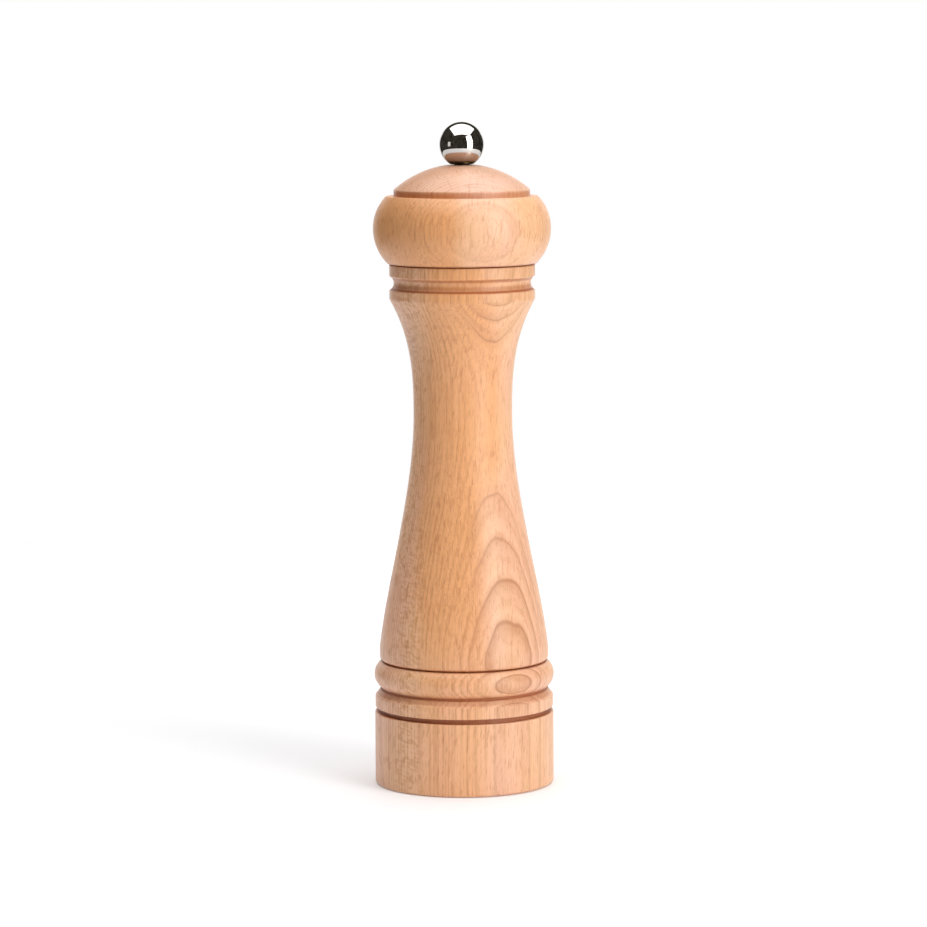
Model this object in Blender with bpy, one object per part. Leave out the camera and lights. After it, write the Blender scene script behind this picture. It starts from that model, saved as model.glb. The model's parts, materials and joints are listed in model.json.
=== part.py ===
"""Pepper mill: turned beech body and head, ball knob and steel grinding mechanism.

The origin is the centre of the base's bottom face, and +Z is up.
"""

import math

import bmesh
import bpy
from mathutils.geometry import interpolate_bezier

MM = 0.001  # every size below is in millimetres

# Fits
CLEARANCE = 0.3  # left between pieces that touch or slide
SHAFT_PASSAGE = 0.7  # round the shaft's corners in the wood
KNOB_GAP = 0.25  # above and below the knob's washer
ADJUST_TRAVEL = 1.6  # how far the knob draws the shaft up

# Mesh density
TURNED_FACETS = 32
SMALL_FACETS = 24
SCREW_FACETS = 12
TOOTHED_FACETS = 48
LOWER_SWEEP_STEPS = 10
UPPER_SWEEP_STEPS = 9
BEAD_STEPS = 8
FOOT_STEPS = 2
COVE_STEPS = 6
HEAD_STEPS = 6
KNOB_STEPS = 14
KNOB_LAST_ANGLE = 86  # of the small flat that closes the ball's top
SPRING_SECTIONS = 16  # in each turn
WIRE_FACETS = 6
CUTTER_TURN = 3.0  # degrees, which keeps a hole's edges off those of its piece

# Body, outside, from the base up
BASE_RADIUS = 27.9
BASE_HEIGHT = 22.5
BASE_EDGE = 0.6
GROOVE_WIDTH = 1.5
GROOVE_DEPTH = 1.8
RING_RADIUS = 27.75
RING_HEIGHT = 3.6
RING_SLOPE_HEIGHT = 2.9
RING_SLOPE_DEPTH = 2.15
BEAD_RADIUS = 28.0
BEAD_HEIGHT = 7.8
BEAD_BULGE = 2.5
CREASE_HEIGHT = 0.2
FOOT_RADIUS = 26.3
FOOT_EDGE = 1.3
FOOT_HEIGHT = 3.9
WAIST_RADIUS = 15.3
LOWER_SWEEP_HEIGHT = 73.5
LOWER_SWEEP_LOW_HANDLE = (0.19, 0.28)  # shares of the sweep's width and height
LOWER_SWEEP_HIGH_HANDLE = 0.34  # share of its height, straight below the waist
UPPER_SWEEP_HEIGHT = 34.8
UPPER_SWEEP_LOW_HANDLE = 0.3
UPPER_SWEEP_HIGH_HANDLE = (0.03, 0.65)
COLLAR_RADIUS = 22.55
COLLAR_UNDERCUT = 0.35
COLLAR_EDGE = 1.4
LOWER_BAND_HEIGHT = 1.9
COVE_HEIGHT = 4.5
COVE_DEPTH = 1.35
UPPER_BAND_HEIGHT = 3.5

# Body, inside
WAIST_WALL = 3.8
SHOULDER_WIDTH = 1.8
SCREW_LEDGE = 6.4
RECESS_DEPTH = 13.0
SOCKET_LEDGE = 2.2
SOCKET_DEPTH = 15.1
TENON_LENGTH = 12.4
TENON_EDGE = 0.6

# Head
HEAD_RADIUS = 27.5
HEAD_LOWER_HEIGHT = 10.8
HEAD_LOWER_CURVE = 15.4
HEAD_UPPER_HEIGHT = 9.95
HEAD_UPPER_CURVE = 14.2
DOME_RADIUS = 21.05
DOME_STEP = 1.95
DOME_CURVE = 31.9
DOME_FLAT_RADIUS = 5.0

# Knob and bush
KNOB_RADIUS = 7.0
KNOB_NECK_RADIUS = 3.5
KNOB_WASHER_RADIUS = 3.65
KNOB_WASHER_THICKNESS = 0.4
THREAD_RADIUS = 2.5
THREAD_ENGAGEMENT = 6.7
THREAD_RUNOUT = 0.8
BUSH_LENGTH = 13.8
BUSH_WALL = 0.7
BUSH_FLANGE = 0.9
BUSH_FLANGE_THICKNESS = 1.3

# Shaft and grinding pieces
SHAFT_SIDE = 6.0
SHAFT_TIP_EDGE = 0.5
STATOR_HEIGHT = 16.0
STATOR_BOTTOM_WALL = 2.1
STATOR_THROAT_WALL = 3.7
STATOR_MOUTH_WALL = 2.5
THROAT_HEIGHT = 6.0
GRINDING_GAP = 0.75
ROTOR_TOP_RIM = 0.35
TEETH = 12
TOOTH_DEPTH = 0.5
TOOTH_SECTIONS = 10
TOOTH_LEAN = 7.5
ROTOR_WASHER_RADIUS = 5.0
ROTOR_WASHER_THICKNESS = 1.2
NUT_ACROSS_FLATS = 8.0
NUT_HEIGHT = 3.0
SHAFT_END = 0.9

# Bridge and spring
BRIDGE_HEIGHT = 14.4
BRIDGE_WIDTH = 12.0
BRIDGE_THICKNESS = 1.2
SPRING_WASHER_RADIUS = 6.0
SPRING_WASHER_THICKNESS = 0.9
SPRING_WIRE_RADIUS = 0.45
SPRING_TURNS = 5

# Plates and screws
RETAINING_PLATE_THICKNESS = 1.5
RETAINING_PLATE_RADIAL_GAP = 0.6
OUTLET_RADIAL_GAP = 0.3
RETAINING_SCREWS = 3
RETAINING_FIRST_ANGLE = 90
RETAINING_SHANK_RADIUS = 1.2
RETAINING_SHANK_LENGTH = 9.0
DRIVE_PLATE_THICKNESS = 1.3
DRIVE_PLATE_EDGE = 1.7
DRIVE_SCREWS = 2
DRIVE_FIRST_ANGLE = 0
DRIVE_SHANK_RADIUS = 1.1
DRIVE_SHANK_LENGTH = 7.0
SCREW_HEAD_RADIUS = 2.3
SCREW_HEAD_HEIGHT = 1.4
SCREW_CROWN_RADIUS = 1.38
SCREW_CROWN_HEIGHT = 0.7
SCREW_POINT_LENGTH = 2.0  # in shank radii, as the next one is
SCREW_POINT_RADIUS = 0.3
PILOT_EXTRA_DEPTH = 1.0

# Heights that follow from the sizes above
GROOVE_TOP = BASE_HEIGHT + GROOVE_WIDTH
RING_TOP = GROOVE_TOP + RING_HEIGHT
SLOPE_TOP = RING_TOP + RING_SLOPE_HEIGHT
BEAD_TOP = SLOPE_TOP + BEAD_HEIGHT
FOOT_BOTTOM = BEAD_TOP + CREASE_HEIGHT
FOOT_TOP = FOOT_BOTTOM + FOOT_HEIGHT
WAIST_Z = FOOT_TOP + LOWER_SWEEP_HEIGHT
SWEEP_TOP = WAIST_Z + UPPER_SWEEP_HEIGHT
COLLAR_BOTTOM = SWEEP_TOP + COLLAR_EDGE
COVE_BOTTOM = COLLAR_BOTTOM + LOWER_BAND_HEIGHT
COVE_TOP = COVE_BOTTOM + COVE_HEIGHT
BODY_TOP = COVE_TOP + UPPER_BAND_HEIGHT
SOCKET_FLOOR = BODY_TOP - SOCKET_DEPTH
HEAD_BOTTOM = BODY_TOP + CLEARANCE
TENON_BOTTOM = HEAD_BOTTOM - TENON_LENGTH
HEAD_WIDEST = HEAD_BOTTOM + HEAD_LOWER_HEIGHT
LEDGE_Z = HEAD_WIDEST + HEAD_UPPER_HEIGHT
DOME_BOTTOM = LEDGE_Z + DOME_STEP


def dome_height(radius):
    """How far the dome's surface lies above its centre of curvature."""
    return math.sqrt(DOME_CURVE**2 - radius**2)


DOME_CENTRE_Z = DOME_BOTTOM - dome_height(DOME_RADIUS)
HEAD_TOP = DOME_CENTRE_Z + dome_height(DOME_FLAT_RADIUS)
KNOB_WASHER_BOTTOM = HEAD_TOP - KNOB_WASHER_THICKNESS
BUSH_COUNTERBORE_FLOOR = KNOB_WASHER_BOTTOM - KNOB_GAP
KNOB_BOTTOM = HEAD_TOP + KNOB_GAP
KNOB_CENTRE_Z = KNOB_BOTTOM + math.sqrt(KNOB_RADIUS**2 - KNOB_NECK_RADIUS**2)
SHAFT_TOP = KNOB_BOTTOM + THREAD_ENGAGEMENT
BUSH_BOTTOM = HEAD_TOP - BUSH_LENGTH
SQUARE_TOP = BUSH_BOTTOM - ADJUST_TRAVEL - 2 * CLEARANCE
STATOR_TOP = RECESS_DEPTH + STATOR_HEIGHT
BRIDGE_BOTTOM = STATOR_TOP + CLEARANCE
BRIDGE_TOP = BRIDGE_BOTTOM + BRIDGE_HEIGHT
SHOULDER_Z = BRIDGE_TOP + CLEARANCE
SPRING_WASHER_TOP = BRIDGE_TOP - BRIDGE_THICKNESS - CLEARANCE
SPRING_TOP = SPRING_WASHER_TOP - SPRING_WASHER_THICKNESS - CLEARANCE
SPRING_BOTTOM = STATOR_TOP + CLEARANCE
ROTOR_WASHER_TOP = RECESS_DEPTH - CLEARANCE
NUT_TOP = ROTOR_WASHER_TOP - ROTOR_WASHER_THICKNESS - CLEARANCE
NUT_BOTTOM = NUT_TOP - NUT_HEIGHT
SHAFT_BOTTOM = NUT_BOTTOM - SHAFT_END
RETAINING_PLATE_TOP = RECESS_DEPTH - CLEARANCE
RETAINING_PLATE_BOTTOM = RETAINING_PLATE_TOP - RETAINING_PLATE_THICKNESS
DRIVE_PLATE_TOP = TENON_BOTTOM - CLEARANCE
DRIVE_PLATE_BOTTOM = DRIVE_PLATE_TOP - DRIVE_PLATE_THICKNESS

# Radii that follow from the sizes above
SHAFT_CORNER = SHAFT_SIDE / math.sqrt(2)
SHAFT_HOLE_SIDE = SHAFT_SIDE + 2 * CLEARANCE
THREAD_HOLE_RADIUS = THREAD_RADIUS + CLEARANCE
CHAMBER_RADIUS = WAIST_RADIUS - WAIST_WALL
STATOR_RADIUS = CHAMBER_RADIUS + SHOULDER_WIDTH
MECHANISM_RADIUS = STATOR_RADIUS + CLEARANCE
RECESS_RADIUS = MECHANISM_RADIUS + SCREW_LEDGE
TENON_RADIUS = CHAMBER_RADIUS + SOCKET_LEDGE
SOCKET_RADIUS = TENON_RADIUS + CLEARANCE
BUSH_RADIUS = THREAD_HOLE_RADIUS + BUSH_WALL
BUSH_FLANGE_RADIUS = BUSH_RADIUS + BUSH_FLANGE
SPRING_RADIUS = SHAFT_CORNER + CLEARANCE + SPRING_WIRE_RADIUS
RETAINING_SCREW_CIRCLE = (MECHANISM_RADIUS + RECESS_RADIUS) / 2
DRIVE_PLATE_RADIUS = TENON_RADIUS - DRIVE_PLATE_EDGE
DRIVE_SCREW_CIRCLE = (SHAFT_HOLE_SIDE / math.sqrt(2) + DRIVE_PLATE_RADIUS) / 2


def clear_scene():
    for item in list(bpy.data.objects):
        bpy.data.objects.remove(item)


def make_material(name, colour, roughness, metallic):
    material = bpy.data.materials.new(name)
    material.use_nodes = True
    shader = material.node_tree.nodes["Principled BSDF"]
    shader.inputs["Base Color"].default_value = (*colour, 1.0)
    shader.inputs["Roughness"].default_value = roughness
    shader.inputs["Metallic"].default_value = metallic
    material.diffuse_color = (*colour, 1.0)
    return material


def make_materials():
    """One material for each kind of surface, by name."""
    looks = {
        "beech_body": ((0.71, 0.42, 0.22), 0.4, 0.0),
        "beech_head": ((0.73, 0.45, 0.25), 0.4, 0.0),
        "polished_steel": ((0.83, 0.83, 0.83), 0.04, 1.0),
        "zinc_plated_steel": ((0.62, 0.63, 0.64), 0.3, 1.0),
        "hardened_steel": ((0.30, 0.30, 0.31), 0.35, 1.0),
        "aluminium": ((0.77, 0.78, 0.79), 0.28, 1.0),
        "spring_steel": ((0.45, 0.45, 0.46), 0.25, 1.0),
        "brass": ((0.80, 0.60, 0.25), 0.25, 1.0),
    }
    return {name: make_material(name, *look) for name, look in looks.items()}


def ring(radius_at, z, facets, turn=0.0):
    """Points round the axis. radius_at(index, angle) gives each one's distance from it."""
    points = []
    for index in range(facets):
        angle = 2 * math.pi * index / facets
        radius = radius_at(index, angle)
        points.append((radius * math.cos(angle + turn), radius * math.sin(angle + turn), z))
    return points


def circle(radius, z, facets):
    return ring(lambda index, angle: radius, z, facets)


def flat_sided(across, sides, z, facets):
    """A regular polygon whose corners fall on points when facets is a multiple of twice its sides."""
    step = 2 * math.pi / sides

    def radius_at(index, angle):
        return across / 2 / math.cos((angle + step / 2) % step - step / 2)

    return ring(radius_at, z, facets)


def skin(name, rings, material, closed=False):
    """A solid through rings of equal count: capped at its ends, or closed into a loop round a hole."""
    shape = bmesh.new()
    loops = [[shape.verts.new([value * MM for value in point]) for point in points] for points in rings]
    pairs = list(zip(loops, loops[1:]))
    if closed:
        pairs.append((loops[-1], loops[0]))
    else:
        shape.faces.new(loops[0])
        shape.faces.new(loops[-1])
    for low, high in pairs:
        for index in range(len(low)):
            following = (index + 1) % len(low)
            shape.faces.new((low[index], low[following], high[following], high[index]))
    bmesh.ops.recalc_face_normals(shape, faces=shape.faces)
    mesh = bpy.data.meshes.new(name)
    shape.to_mesh(mesh)
    shape.free()
    mesh.shade_smooth()
    mesh.set_sharp_from_angle(angle=math.radians(30))
    item = bpy.data.objects.new(name, mesh)
    bpy.context.scene.collection.objects.link(item)
    if material:
        mesh.materials.append(material)
    return item


def turned(name, outline, material, facets=TURNED_FACETS, closed=True):
    """A turned piece from (radius, z) points: a closed outline has a hole along the axis."""
    return skin(name, [circle(radius, z, facets) for radius, z in outline], material, closed)


def as_cutter(item):
    item.hide_render = True
    item.display_type = "WIRE"
    return item


def cut(item, cutter):
    modifier = item.modifiers.new(cutter.name, "BOOLEAN")
    modifier.operation = "DIFFERENCE"
    modifier.object = cutter


def round_cutter(name, radius, low, high, spot=(0.0, 0.0)):
    cutter = as_cutter(turned(name, [(radius, low), (radius, high)], None, SMALL_FACETS, closed=False))
    cutter.location = (spot[0] * MM, spot[1] * MM, 0.0)
    cutter.rotation_euler.z = math.radians(CUTTER_TURN)
    return cutter


def arc(centre, radius, first, last, steps):
    """Points on a circle between two angles in degrees, ends included."""
    points = []
    for index in range(steps + 1):
        angle = math.radians(first + (last - first) * index / steps)
        points.append((centre[0] + radius * math.cos(angle), centre[1] + radius * math.sin(angle)))
    return points


def swell(edge, bulge, low, high, steps):
    """An arc from low to high that stands out by bulge at its middle, or in if that is negative."""
    half = (high - low) / 2
    radius = (half**2 + bulge**2) / (2 * bulge)
    reach = math.degrees(math.asin(half / abs(radius)))
    centre = edge + bulge - radius
    if bulge > 0:
        return arc((centre, low + half), radius, -reach, reach, steps)
    return arc((centre, low + half), -radius, 180 + reach, 180 - reach, steps)


def sweep(start, start_handle, end_handle, end, steps):
    knots = [(x, z, 0.0) for x, z in (start, start_handle, end_handle, end)]
    return [(point.x, point.y) for point in interpolate_bezier(*knots, steps + 1)]


def spots(count, radius, first):
    """Places spread evenly round the axis, from the first angle in degrees."""
    places = []
    for index in range(count):
        angle = math.radians(first) + 2 * math.pi * index / count
        places.append((radius * math.cos(angle), radius * math.sin(angle)))
    return places


def lower_sweep():
    """The long flare from the foot up to the waist."""
    waist = (WAIST_RADIUS, WAIST_Z)
    start = (FOOT_RADIUS, FOOT_TOP)
    span = FOOT_RADIUS - WAIST_RADIUS
    inwards, upwards = LOWER_SWEEP_LOW_HANDLE
    start_handle = (FOOT_RADIUS - inwards * span, FOOT_TOP + upwards * LOWER_SWEEP_HEIGHT)
    end_handle = (WAIST_RADIUS, WAIST_Z - LOWER_SWEEP_HIGH_HANDLE * LOWER_SWEEP_HEIGHT)
    return sweep(start, start_handle, end_handle, waist, LOWER_SWEEP_STEPS)


def upper_sweep():
    """The short flare from the waist up to the collar, without its first point."""
    waist = (WAIST_RADIUS, WAIST_Z)
    end = (COLLAR_RADIUS - COLLAR_UNDERCUT, SWEEP_TOP)
    span = end[0] - WAIST_RADIUS
    outwards, upwards = UPPER_SWEEP_HIGH_HANDLE
    start_handle = (WAIST_RADIUS, WAIST_Z + UPPER_SWEEP_LOW_HANDLE * UPPER_SWEEP_HEIGHT)
    end_handle = (WAIST_RADIUS + outwards * span, WAIST_Z + upwards * UPPER_SWEEP_HEIGHT)
    return sweep(waist, start_handle, end_handle, end, UPPER_SWEEP_STEPS)[1:]


def body_outside():
    return [
        (BASE_RADIUS - BASE_EDGE, 0.0),
        (BASE_RADIUS, BASE_EDGE),
        (BASE_RADIUS, BASE_HEIGHT),
        (BASE_RADIUS - GROOVE_DEPTH, BASE_HEIGHT),
        (BASE_RADIUS - GROOVE_DEPTH, GROOVE_TOP),
        (RING_RADIUS, GROOVE_TOP),
        (RING_RADIUS, RING_TOP),
        (RING_RADIUS - RING_SLOPE_DEPTH, SLOPE_TOP),
        *swell(BEAD_RADIUS - BEAD_BULGE, BEAD_BULGE, SLOPE_TOP + CREASE_HEIGHT, BEAD_TOP, BEAD_STEPS),
        *arc((FOOT_RADIUS - FOOT_EDGE, FOOT_BOTTOM + FOOT_EDGE), FOOT_EDGE, -90, 0, FOOT_STEPS),
        *lower_sweep(),
        *upper_sweep(),
        (COLLAR_RADIUS, COLLAR_BOTTOM),
        *swell(COLLAR_RADIUS, -COVE_DEPTH, COVE_BOTTOM, COVE_TOP, COVE_STEPS),
        (COLLAR_RADIUS, BODY_TOP),
    ]


def body_inside():
    """The socket, pepper chamber, mechanism bore and outlet recess, from the top down."""
    return [
        (SOCKET_RADIUS, BODY_TOP),
        (SOCKET_RADIUS, SOCKET_FLOOR),
        (CHAMBER_RADIUS, SOCKET_FLOOR),
        (CHAMBER_RADIUS, SHOULDER_Z),
        (MECHANISM_RADIUS, SHOULDER_Z),
        (MECHANISM_RADIUS, RECESS_DEPTH),
        (RECESS_RADIUS, RECESS_DEPTH),
        (RECESS_RADIUS, 0.0),
    ]


def make_body(materials):
    body = turned("body", body_outside() + body_inside(), materials["beech_body"])
    top = RETAINING_PLATE_BOTTOM - CLEARANCE + RETAINING_SHANK_LENGTH + PILOT_EXTRA_DEPTH
    radius = RETAINING_SHANK_RADIUS + CLEARANCE
    for number, spot in enumerate(spots(RETAINING_SCREWS, RETAINING_SCREW_CIRCLE, RETAINING_FIRST_ANGLE), 1):
        cutter = round_cutter(f"retaining_pilot_{number}", radius, RETAINING_PLATE_BOTTOM, top, spot)
        cut(body, cutter)
    return body


def head_outside():
    """From the tenon's foot up to the flat on the dome."""
    low = math.degrees(math.asin(HEAD_LOWER_HEIGHT / HEAD_LOWER_CURVE))
    high = math.degrees(math.asin(HEAD_UPPER_HEIGHT / HEAD_UPPER_CURVE))
    dome_low = math.degrees(math.acos(DOME_RADIUS / DOME_CURVE))
    dome_high = math.degrees(math.acos(DOME_FLAT_RADIUS / DOME_CURVE))
    return [
        (TENON_RADIUS - TENON_EDGE, TENON_BOTTOM),
        (TENON_RADIUS, TENON_BOTTOM + TENON_EDGE),
        (TENON_RADIUS, HEAD_BOTTOM),
        *arc((HEAD_RADIUS - HEAD_LOWER_CURVE, HEAD_WIDEST), HEAD_LOWER_CURVE, -low, 0, HEAD_STEPS),
        *arc((HEAD_RADIUS - HEAD_UPPER_CURVE, HEAD_WIDEST), HEAD_UPPER_CURVE, 0, high, HEAD_STEPS)[1:],
        (DOME_RADIUS, LEDGE_Z),
        *arc((0.0, DOME_CENTRE_Z), DOME_CURVE, dome_low, dome_high, HEAD_STEPS),
    ]


def head_inside():
    """The bush's seat and the passage for the shaft, from the top down."""
    flange_seat = HEAD_TOP - BUSH_FLANGE_THICKNESS - CLEARANCE
    passage_top = BUSH_BOTTOM - CLEARANCE
    passage_radius = SHAFT_CORNER + SHAFT_PASSAGE
    return [
        (BUSH_FLANGE_RADIUS + CLEARANCE, HEAD_TOP),
        (BUSH_FLANGE_RADIUS + CLEARANCE, flange_seat),
        (BUSH_RADIUS + CLEARANCE, flange_seat),
        (BUSH_RADIUS + CLEARANCE, passage_top),
        (passage_radius, passage_top),
        (passage_radius, TENON_BOTTOM),
    ]


def make_head(materials):
    head = turned("head", head_outside() + head_inside(), materials["beech_head"])
    top = DRIVE_PLATE_BOTTOM - CLEARANCE + DRIVE_SHANK_LENGTH + PILOT_EXTRA_DEPTH
    radius = DRIVE_SHANK_RADIUS + CLEARANCE
    for number, spot in enumerate(spots(DRIVE_SCREWS, DRIVE_SCREW_CIRCLE, DRIVE_FIRST_ANGLE), 1):
        cut(head, round_cutter(f"drive_pilot_{number}", radius, DRIVE_PLATE_TOP, top, spot))
    return head


def make_knob(materials):
    """The ball, with a blind threaded hole drawn as a plain bore."""
    hole_top = SHAFT_TOP + ADJUST_TRAVEL + THREAD_RUNOUT
    neck = math.degrees(math.acos(KNOB_NECK_RADIUS / KNOB_RADIUS))
    outline = [
        (THREAD_HOLE_RADIUS, hole_top),
        (THREAD_HOLE_RADIUS, KNOB_BOTTOM),
        *arc((0.0, KNOB_CENTRE_Z), KNOB_RADIUS, -neck, KNOB_LAST_ANGLE, KNOB_STEPS),
    ]
    return turned("adjusting_knob", outline, materials["polished_steel"], SMALL_FACETS, closed=False)


def make_round_washer(name, outer, inner, low, thickness, material):
    outline = [(outer, low), (outer, low + thickness), (inner, low + thickness), (inner, low)]
    return turned(name, outline, material, SMALL_FACETS)


def make_square_hole_plate(name, outer, low, thickness, material):
    high = low + thickness
    rings = [
        circle(outer, low, TOOTHED_FACETS),
        circle(outer, high, TOOTHED_FACETS),
        flat_sided(SHAFT_HOLE_SIDE, 4, high, TOOTHED_FACETS),
        flat_sided(SHAFT_HOLE_SIDE, 4, low, TOOTHED_FACETS),
    ]
    return skin(name, rings, material, closed=True)


def make_bush(materials):
    """A flanged tube let into the dome, with the knob's washer in its counterbore."""
    flange_bottom = HEAD_TOP - BUSH_FLANGE_THICKNESS
    counterbore = KNOB_WASHER_RADIUS + CLEARANCE
    outline = [
        (BUSH_RADIUS, BUSH_BOTTOM),
        (BUSH_RADIUS, flange_bottom),
        (BUSH_FLANGE_RADIUS, flange_bottom),
        (BUSH_FLANGE_RADIUS, HEAD_TOP),
        (counterbore, HEAD_TOP),
        (counterbore, BUSH_COUNTERBORE_FLOOR),
        (THREAD_HOLE_RADIUS, BUSH_COUNTERBORE_FLOOR),
        (THREAD_HOLE_RADIUS, BUSH_BOTTOM),
    ]
    return turned("head_bush", outline, materials["brass"], SMALL_FACETS)


def make_drive_plate(materials):
    plate = make_square_hole_plate(
        "drive_plate",
        DRIVE_PLATE_RADIUS,
        DRIVE_PLATE_BOTTOM,
        DRIVE_PLATE_THICKNESS,
        materials["zinc_plated_steel"],
    )
    radius = DRIVE_SHANK_RADIUS + CLEARANCE
    low = DRIVE_PLATE_BOTTOM - CLEARANCE
    high = DRIVE_PLATE_TOP + CLEARANCE
    for number, spot in enumerate(spots(DRIVE_SCREWS, DRIVE_SCREW_CIRCLE, DRIVE_FIRST_ANGLE), 1):
        cut(plate, round_cutter(f"drive_plate_hole_{number}", radius, low, high, spot))
    return plate


def make_retaining_plate(materials):
    inner = STATOR_RADIUS - STATOR_BOTTOM_WALL + TOOTH_DEPTH + OUTLET_RADIAL_GAP
    outer = RECESS_RADIUS - RETAINING_PLATE_RADIAL_GAP
    outline = [
        (outer, RETAINING_PLATE_BOTTOM),
        (outer, RETAINING_PLATE_TOP),
        (inner, RETAINING_PLATE_TOP),
        (inner, RETAINING_PLATE_BOTTOM),
    ]
    plate = turned("retaining_plate", outline, materials["zinc_plated_steel"])
    radius = RETAINING_SHANK_RADIUS + CLEARANCE
    low = RETAINING_PLATE_BOTTOM - CLEARANCE
    high = RETAINING_PLATE_TOP + CLEARANCE
    for number, spot in enumerate(spots(RETAINING_SCREWS, RETAINING_SCREW_CIRCLE, RETAINING_FIRST_ANGLE), 1):
        cut(plate, round_cutter(f"retaining_plate_hole_{number}", radius, low, high, spot))
    return plate


def make_screws(name, count, circle_radius, first, seat, shank_radius, shank_length, material):
    """Screws that point up, with their heads under a plate whose lower face is at seat."""
    head_top = seat - CLEARANCE
    head_bottom = head_top - SCREW_HEAD_HEIGHT
    tip = head_top + shank_length
    outline = [
        (SCREW_CROWN_RADIUS, head_bottom),
        (SCREW_HEAD_RADIUS, head_bottom + SCREW_CROWN_HEIGHT),
        (SCREW_HEAD_RADIUS, head_top),
        (shank_radius, head_top),
        (shank_radius, tip - SCREW_POINT_LENGTH * shank_radius),
        (SCREW_POINT_RADIUS * shank_radius, tip),
    ]
    pattern = turned(f"{name}_1", outline, material, SCREW_FACETS, closed=False)
    screws = [pattern]
    for number in range(2, count + 1):
        copy = bpy.data.objects.new(f"{name}_{number}", pattern.data)
        bpy.context.scene.collection.objects.link(copy)
        screws.append(copy)
    for screw, spot in zip(screws, spots(count, circle_radius, first)):
        screw.location = (spot[0] * MM, spot[1] * MM, 0.0)
    return screws


def make_shaft(materials):
    """Round and threaded at both ends, square between them. Threads are drawn plain."""
    rings = [
        circle(THREAD_RADIUS - SHAFT_TIP_EDGE, SHAFT_BOTTOM, SMALL_FACETS),
        circle(THREAD_RADIUS, SHAFT_BOTTOM + SHAFT_TIP_EDGE, SMALL_FACETS),
        circle(THREAD_RADIUS, RECESS_DEPTH, SMALL_FACETS),
        flat_sided(SHAFT_SIDE, 4, RECESS_DEPTH, SMALL_FACETS),
        flat_sided(SHAFT_SIDE, 4, SQUARE_TOP, SMALL_FACETS),
        circle(THREAD_RADIUS, SQUARE_TOP, SMALL_FACETS),
        circle(THREAD_RADIUS, SHAFT_TOP - SHAFT_TIP_EDGE, SMALL_FACETS),
        circle(THREAD_RADIUS - SHAFT_TIP_EDGE, SHAFT_TOP, SMALL_FACETS),
    ]
    return skin("shaft", rings, materials["aluminium"])


def toothed(name, outline, depth, lean, material):
    """A capped solid whose saw teeth twist by lean degrees at each section. depth is inwards."""
    points_per_tooth = TOOTHED_FACETS // TEETH
    rings = []
    for section, (radius, z) in enumerate(outline):

        def radius_at(index, angle, radius=radius):
            return radius - depth * (index % points_per_tooth) / (points_per_tooth - 1)

        rings.append(ring(radius_at, z, TOOTHED_FACETS, math.radians(lean * section)))
    return skin(name, rings, material)


def grinding_outline(bottom, throat, top, extend=0.0):
    """Radius and height of each toothed section, with the narrow throat at THROAT_HEIGHT."""
    outline = []
    for section in range(TOOTH_SECTIONS + 1):
        height = STATOR_HEIGHT * section / TOOTH_SECTIONS
        if height <= THROAT_HEIGHT:
            radius = bottom + (throat - bottom) * height / THROAT_HEIGHT
        else:
            radius = throat + (top - throat) * (height - THROAT_HEIGHT) / (STATOR_HEIGHT - THROAT_HEIGHT)
        outline.append((radius, RECESS_DEPTH + height))
    outline[0] = (outline[0][0], outline[0][1] - extend)
    outline[-1] = (outline[-1][0], outline[-1][1] + extend)
    return outline


def make_stator(materials):
    outline = [(STATOR_RADIUS, RECESS_DEPTH), (STATOR_RADIUS, STATOR_TOP)]
    stator = turned("stator", outline, materials["hardened_steel"], closed=False)
    cutter_outline = grinding_outline(
        STATOR_RADIUS - STATOR_BOTTOM_WALL + TOOTH_DEPTH,
        STATOR_RADIUS - STATOR_THROAT_WALL + TOOTH_DEPTH,
        STATOR_RADIUS - STATOR_MOUTH_WALL + TOOTH_DEPTH,
        extend=CLEARANCE,
    )
    cutter = as_cutter(toothed("stator_cavity", cutter_outline, TOOTH_DEPTH, -TOOTH_LEAN, None))
    cut(stator, cutter)
    return stator


def make_rotor(materials):
    """The cone sits in the ring with the grinding gap of its coarsest setting."""
    spring_outer = SPRING_RADIUS + SPRING_WIRE_RADIUS
    outline = grinding_outline(
        STATOR_RADIUS - STATOR_BOTTOM_WALL - GRINDING_GAP,
        STATOR_RADIUS - STATOR_THROAT_WALL - GRINDING_GAP,
        spring_outer + ROTOR_TOP_RIM,
    )
    rotor = toothed("rotor", outline, TOOTH_DEPTH, TOOTH_LEAN, materials["hardened_steel"])
    low = RECESS_DEPTH - CLEARANCE
    high = STATOR_TOP + CLEARANCE
    hole = [flat_sided(SHAFT_HOLE_SIDE, 4, z, SMALL_FACETS) for z in (low, high)]
    cut(rotor, as_cutter(skin("rotor_hole", hole, None)))
    return rotor


def make_rotor_nut(materials):
    rings = [
        flat_sided(NUT_ACROSS_FLATS, 6, NUT_BOTTOM, SMALL_FACETS),
        flat_sided(NUT_ACROSS_FLATS, 6, NUT_TOP, SMALL_FACETS),
        circle(THREAD_HOLE_RADIUS, NUT_TOP, SMALL_FACETS),
        circle(THREAD_HOLE_RADIUS, NUT_BOTTOM, SMALL_FACETS),
    ]
    return skin("rotor_nut", rings, materials["zinc_plated_steel"], closed=True)


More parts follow.
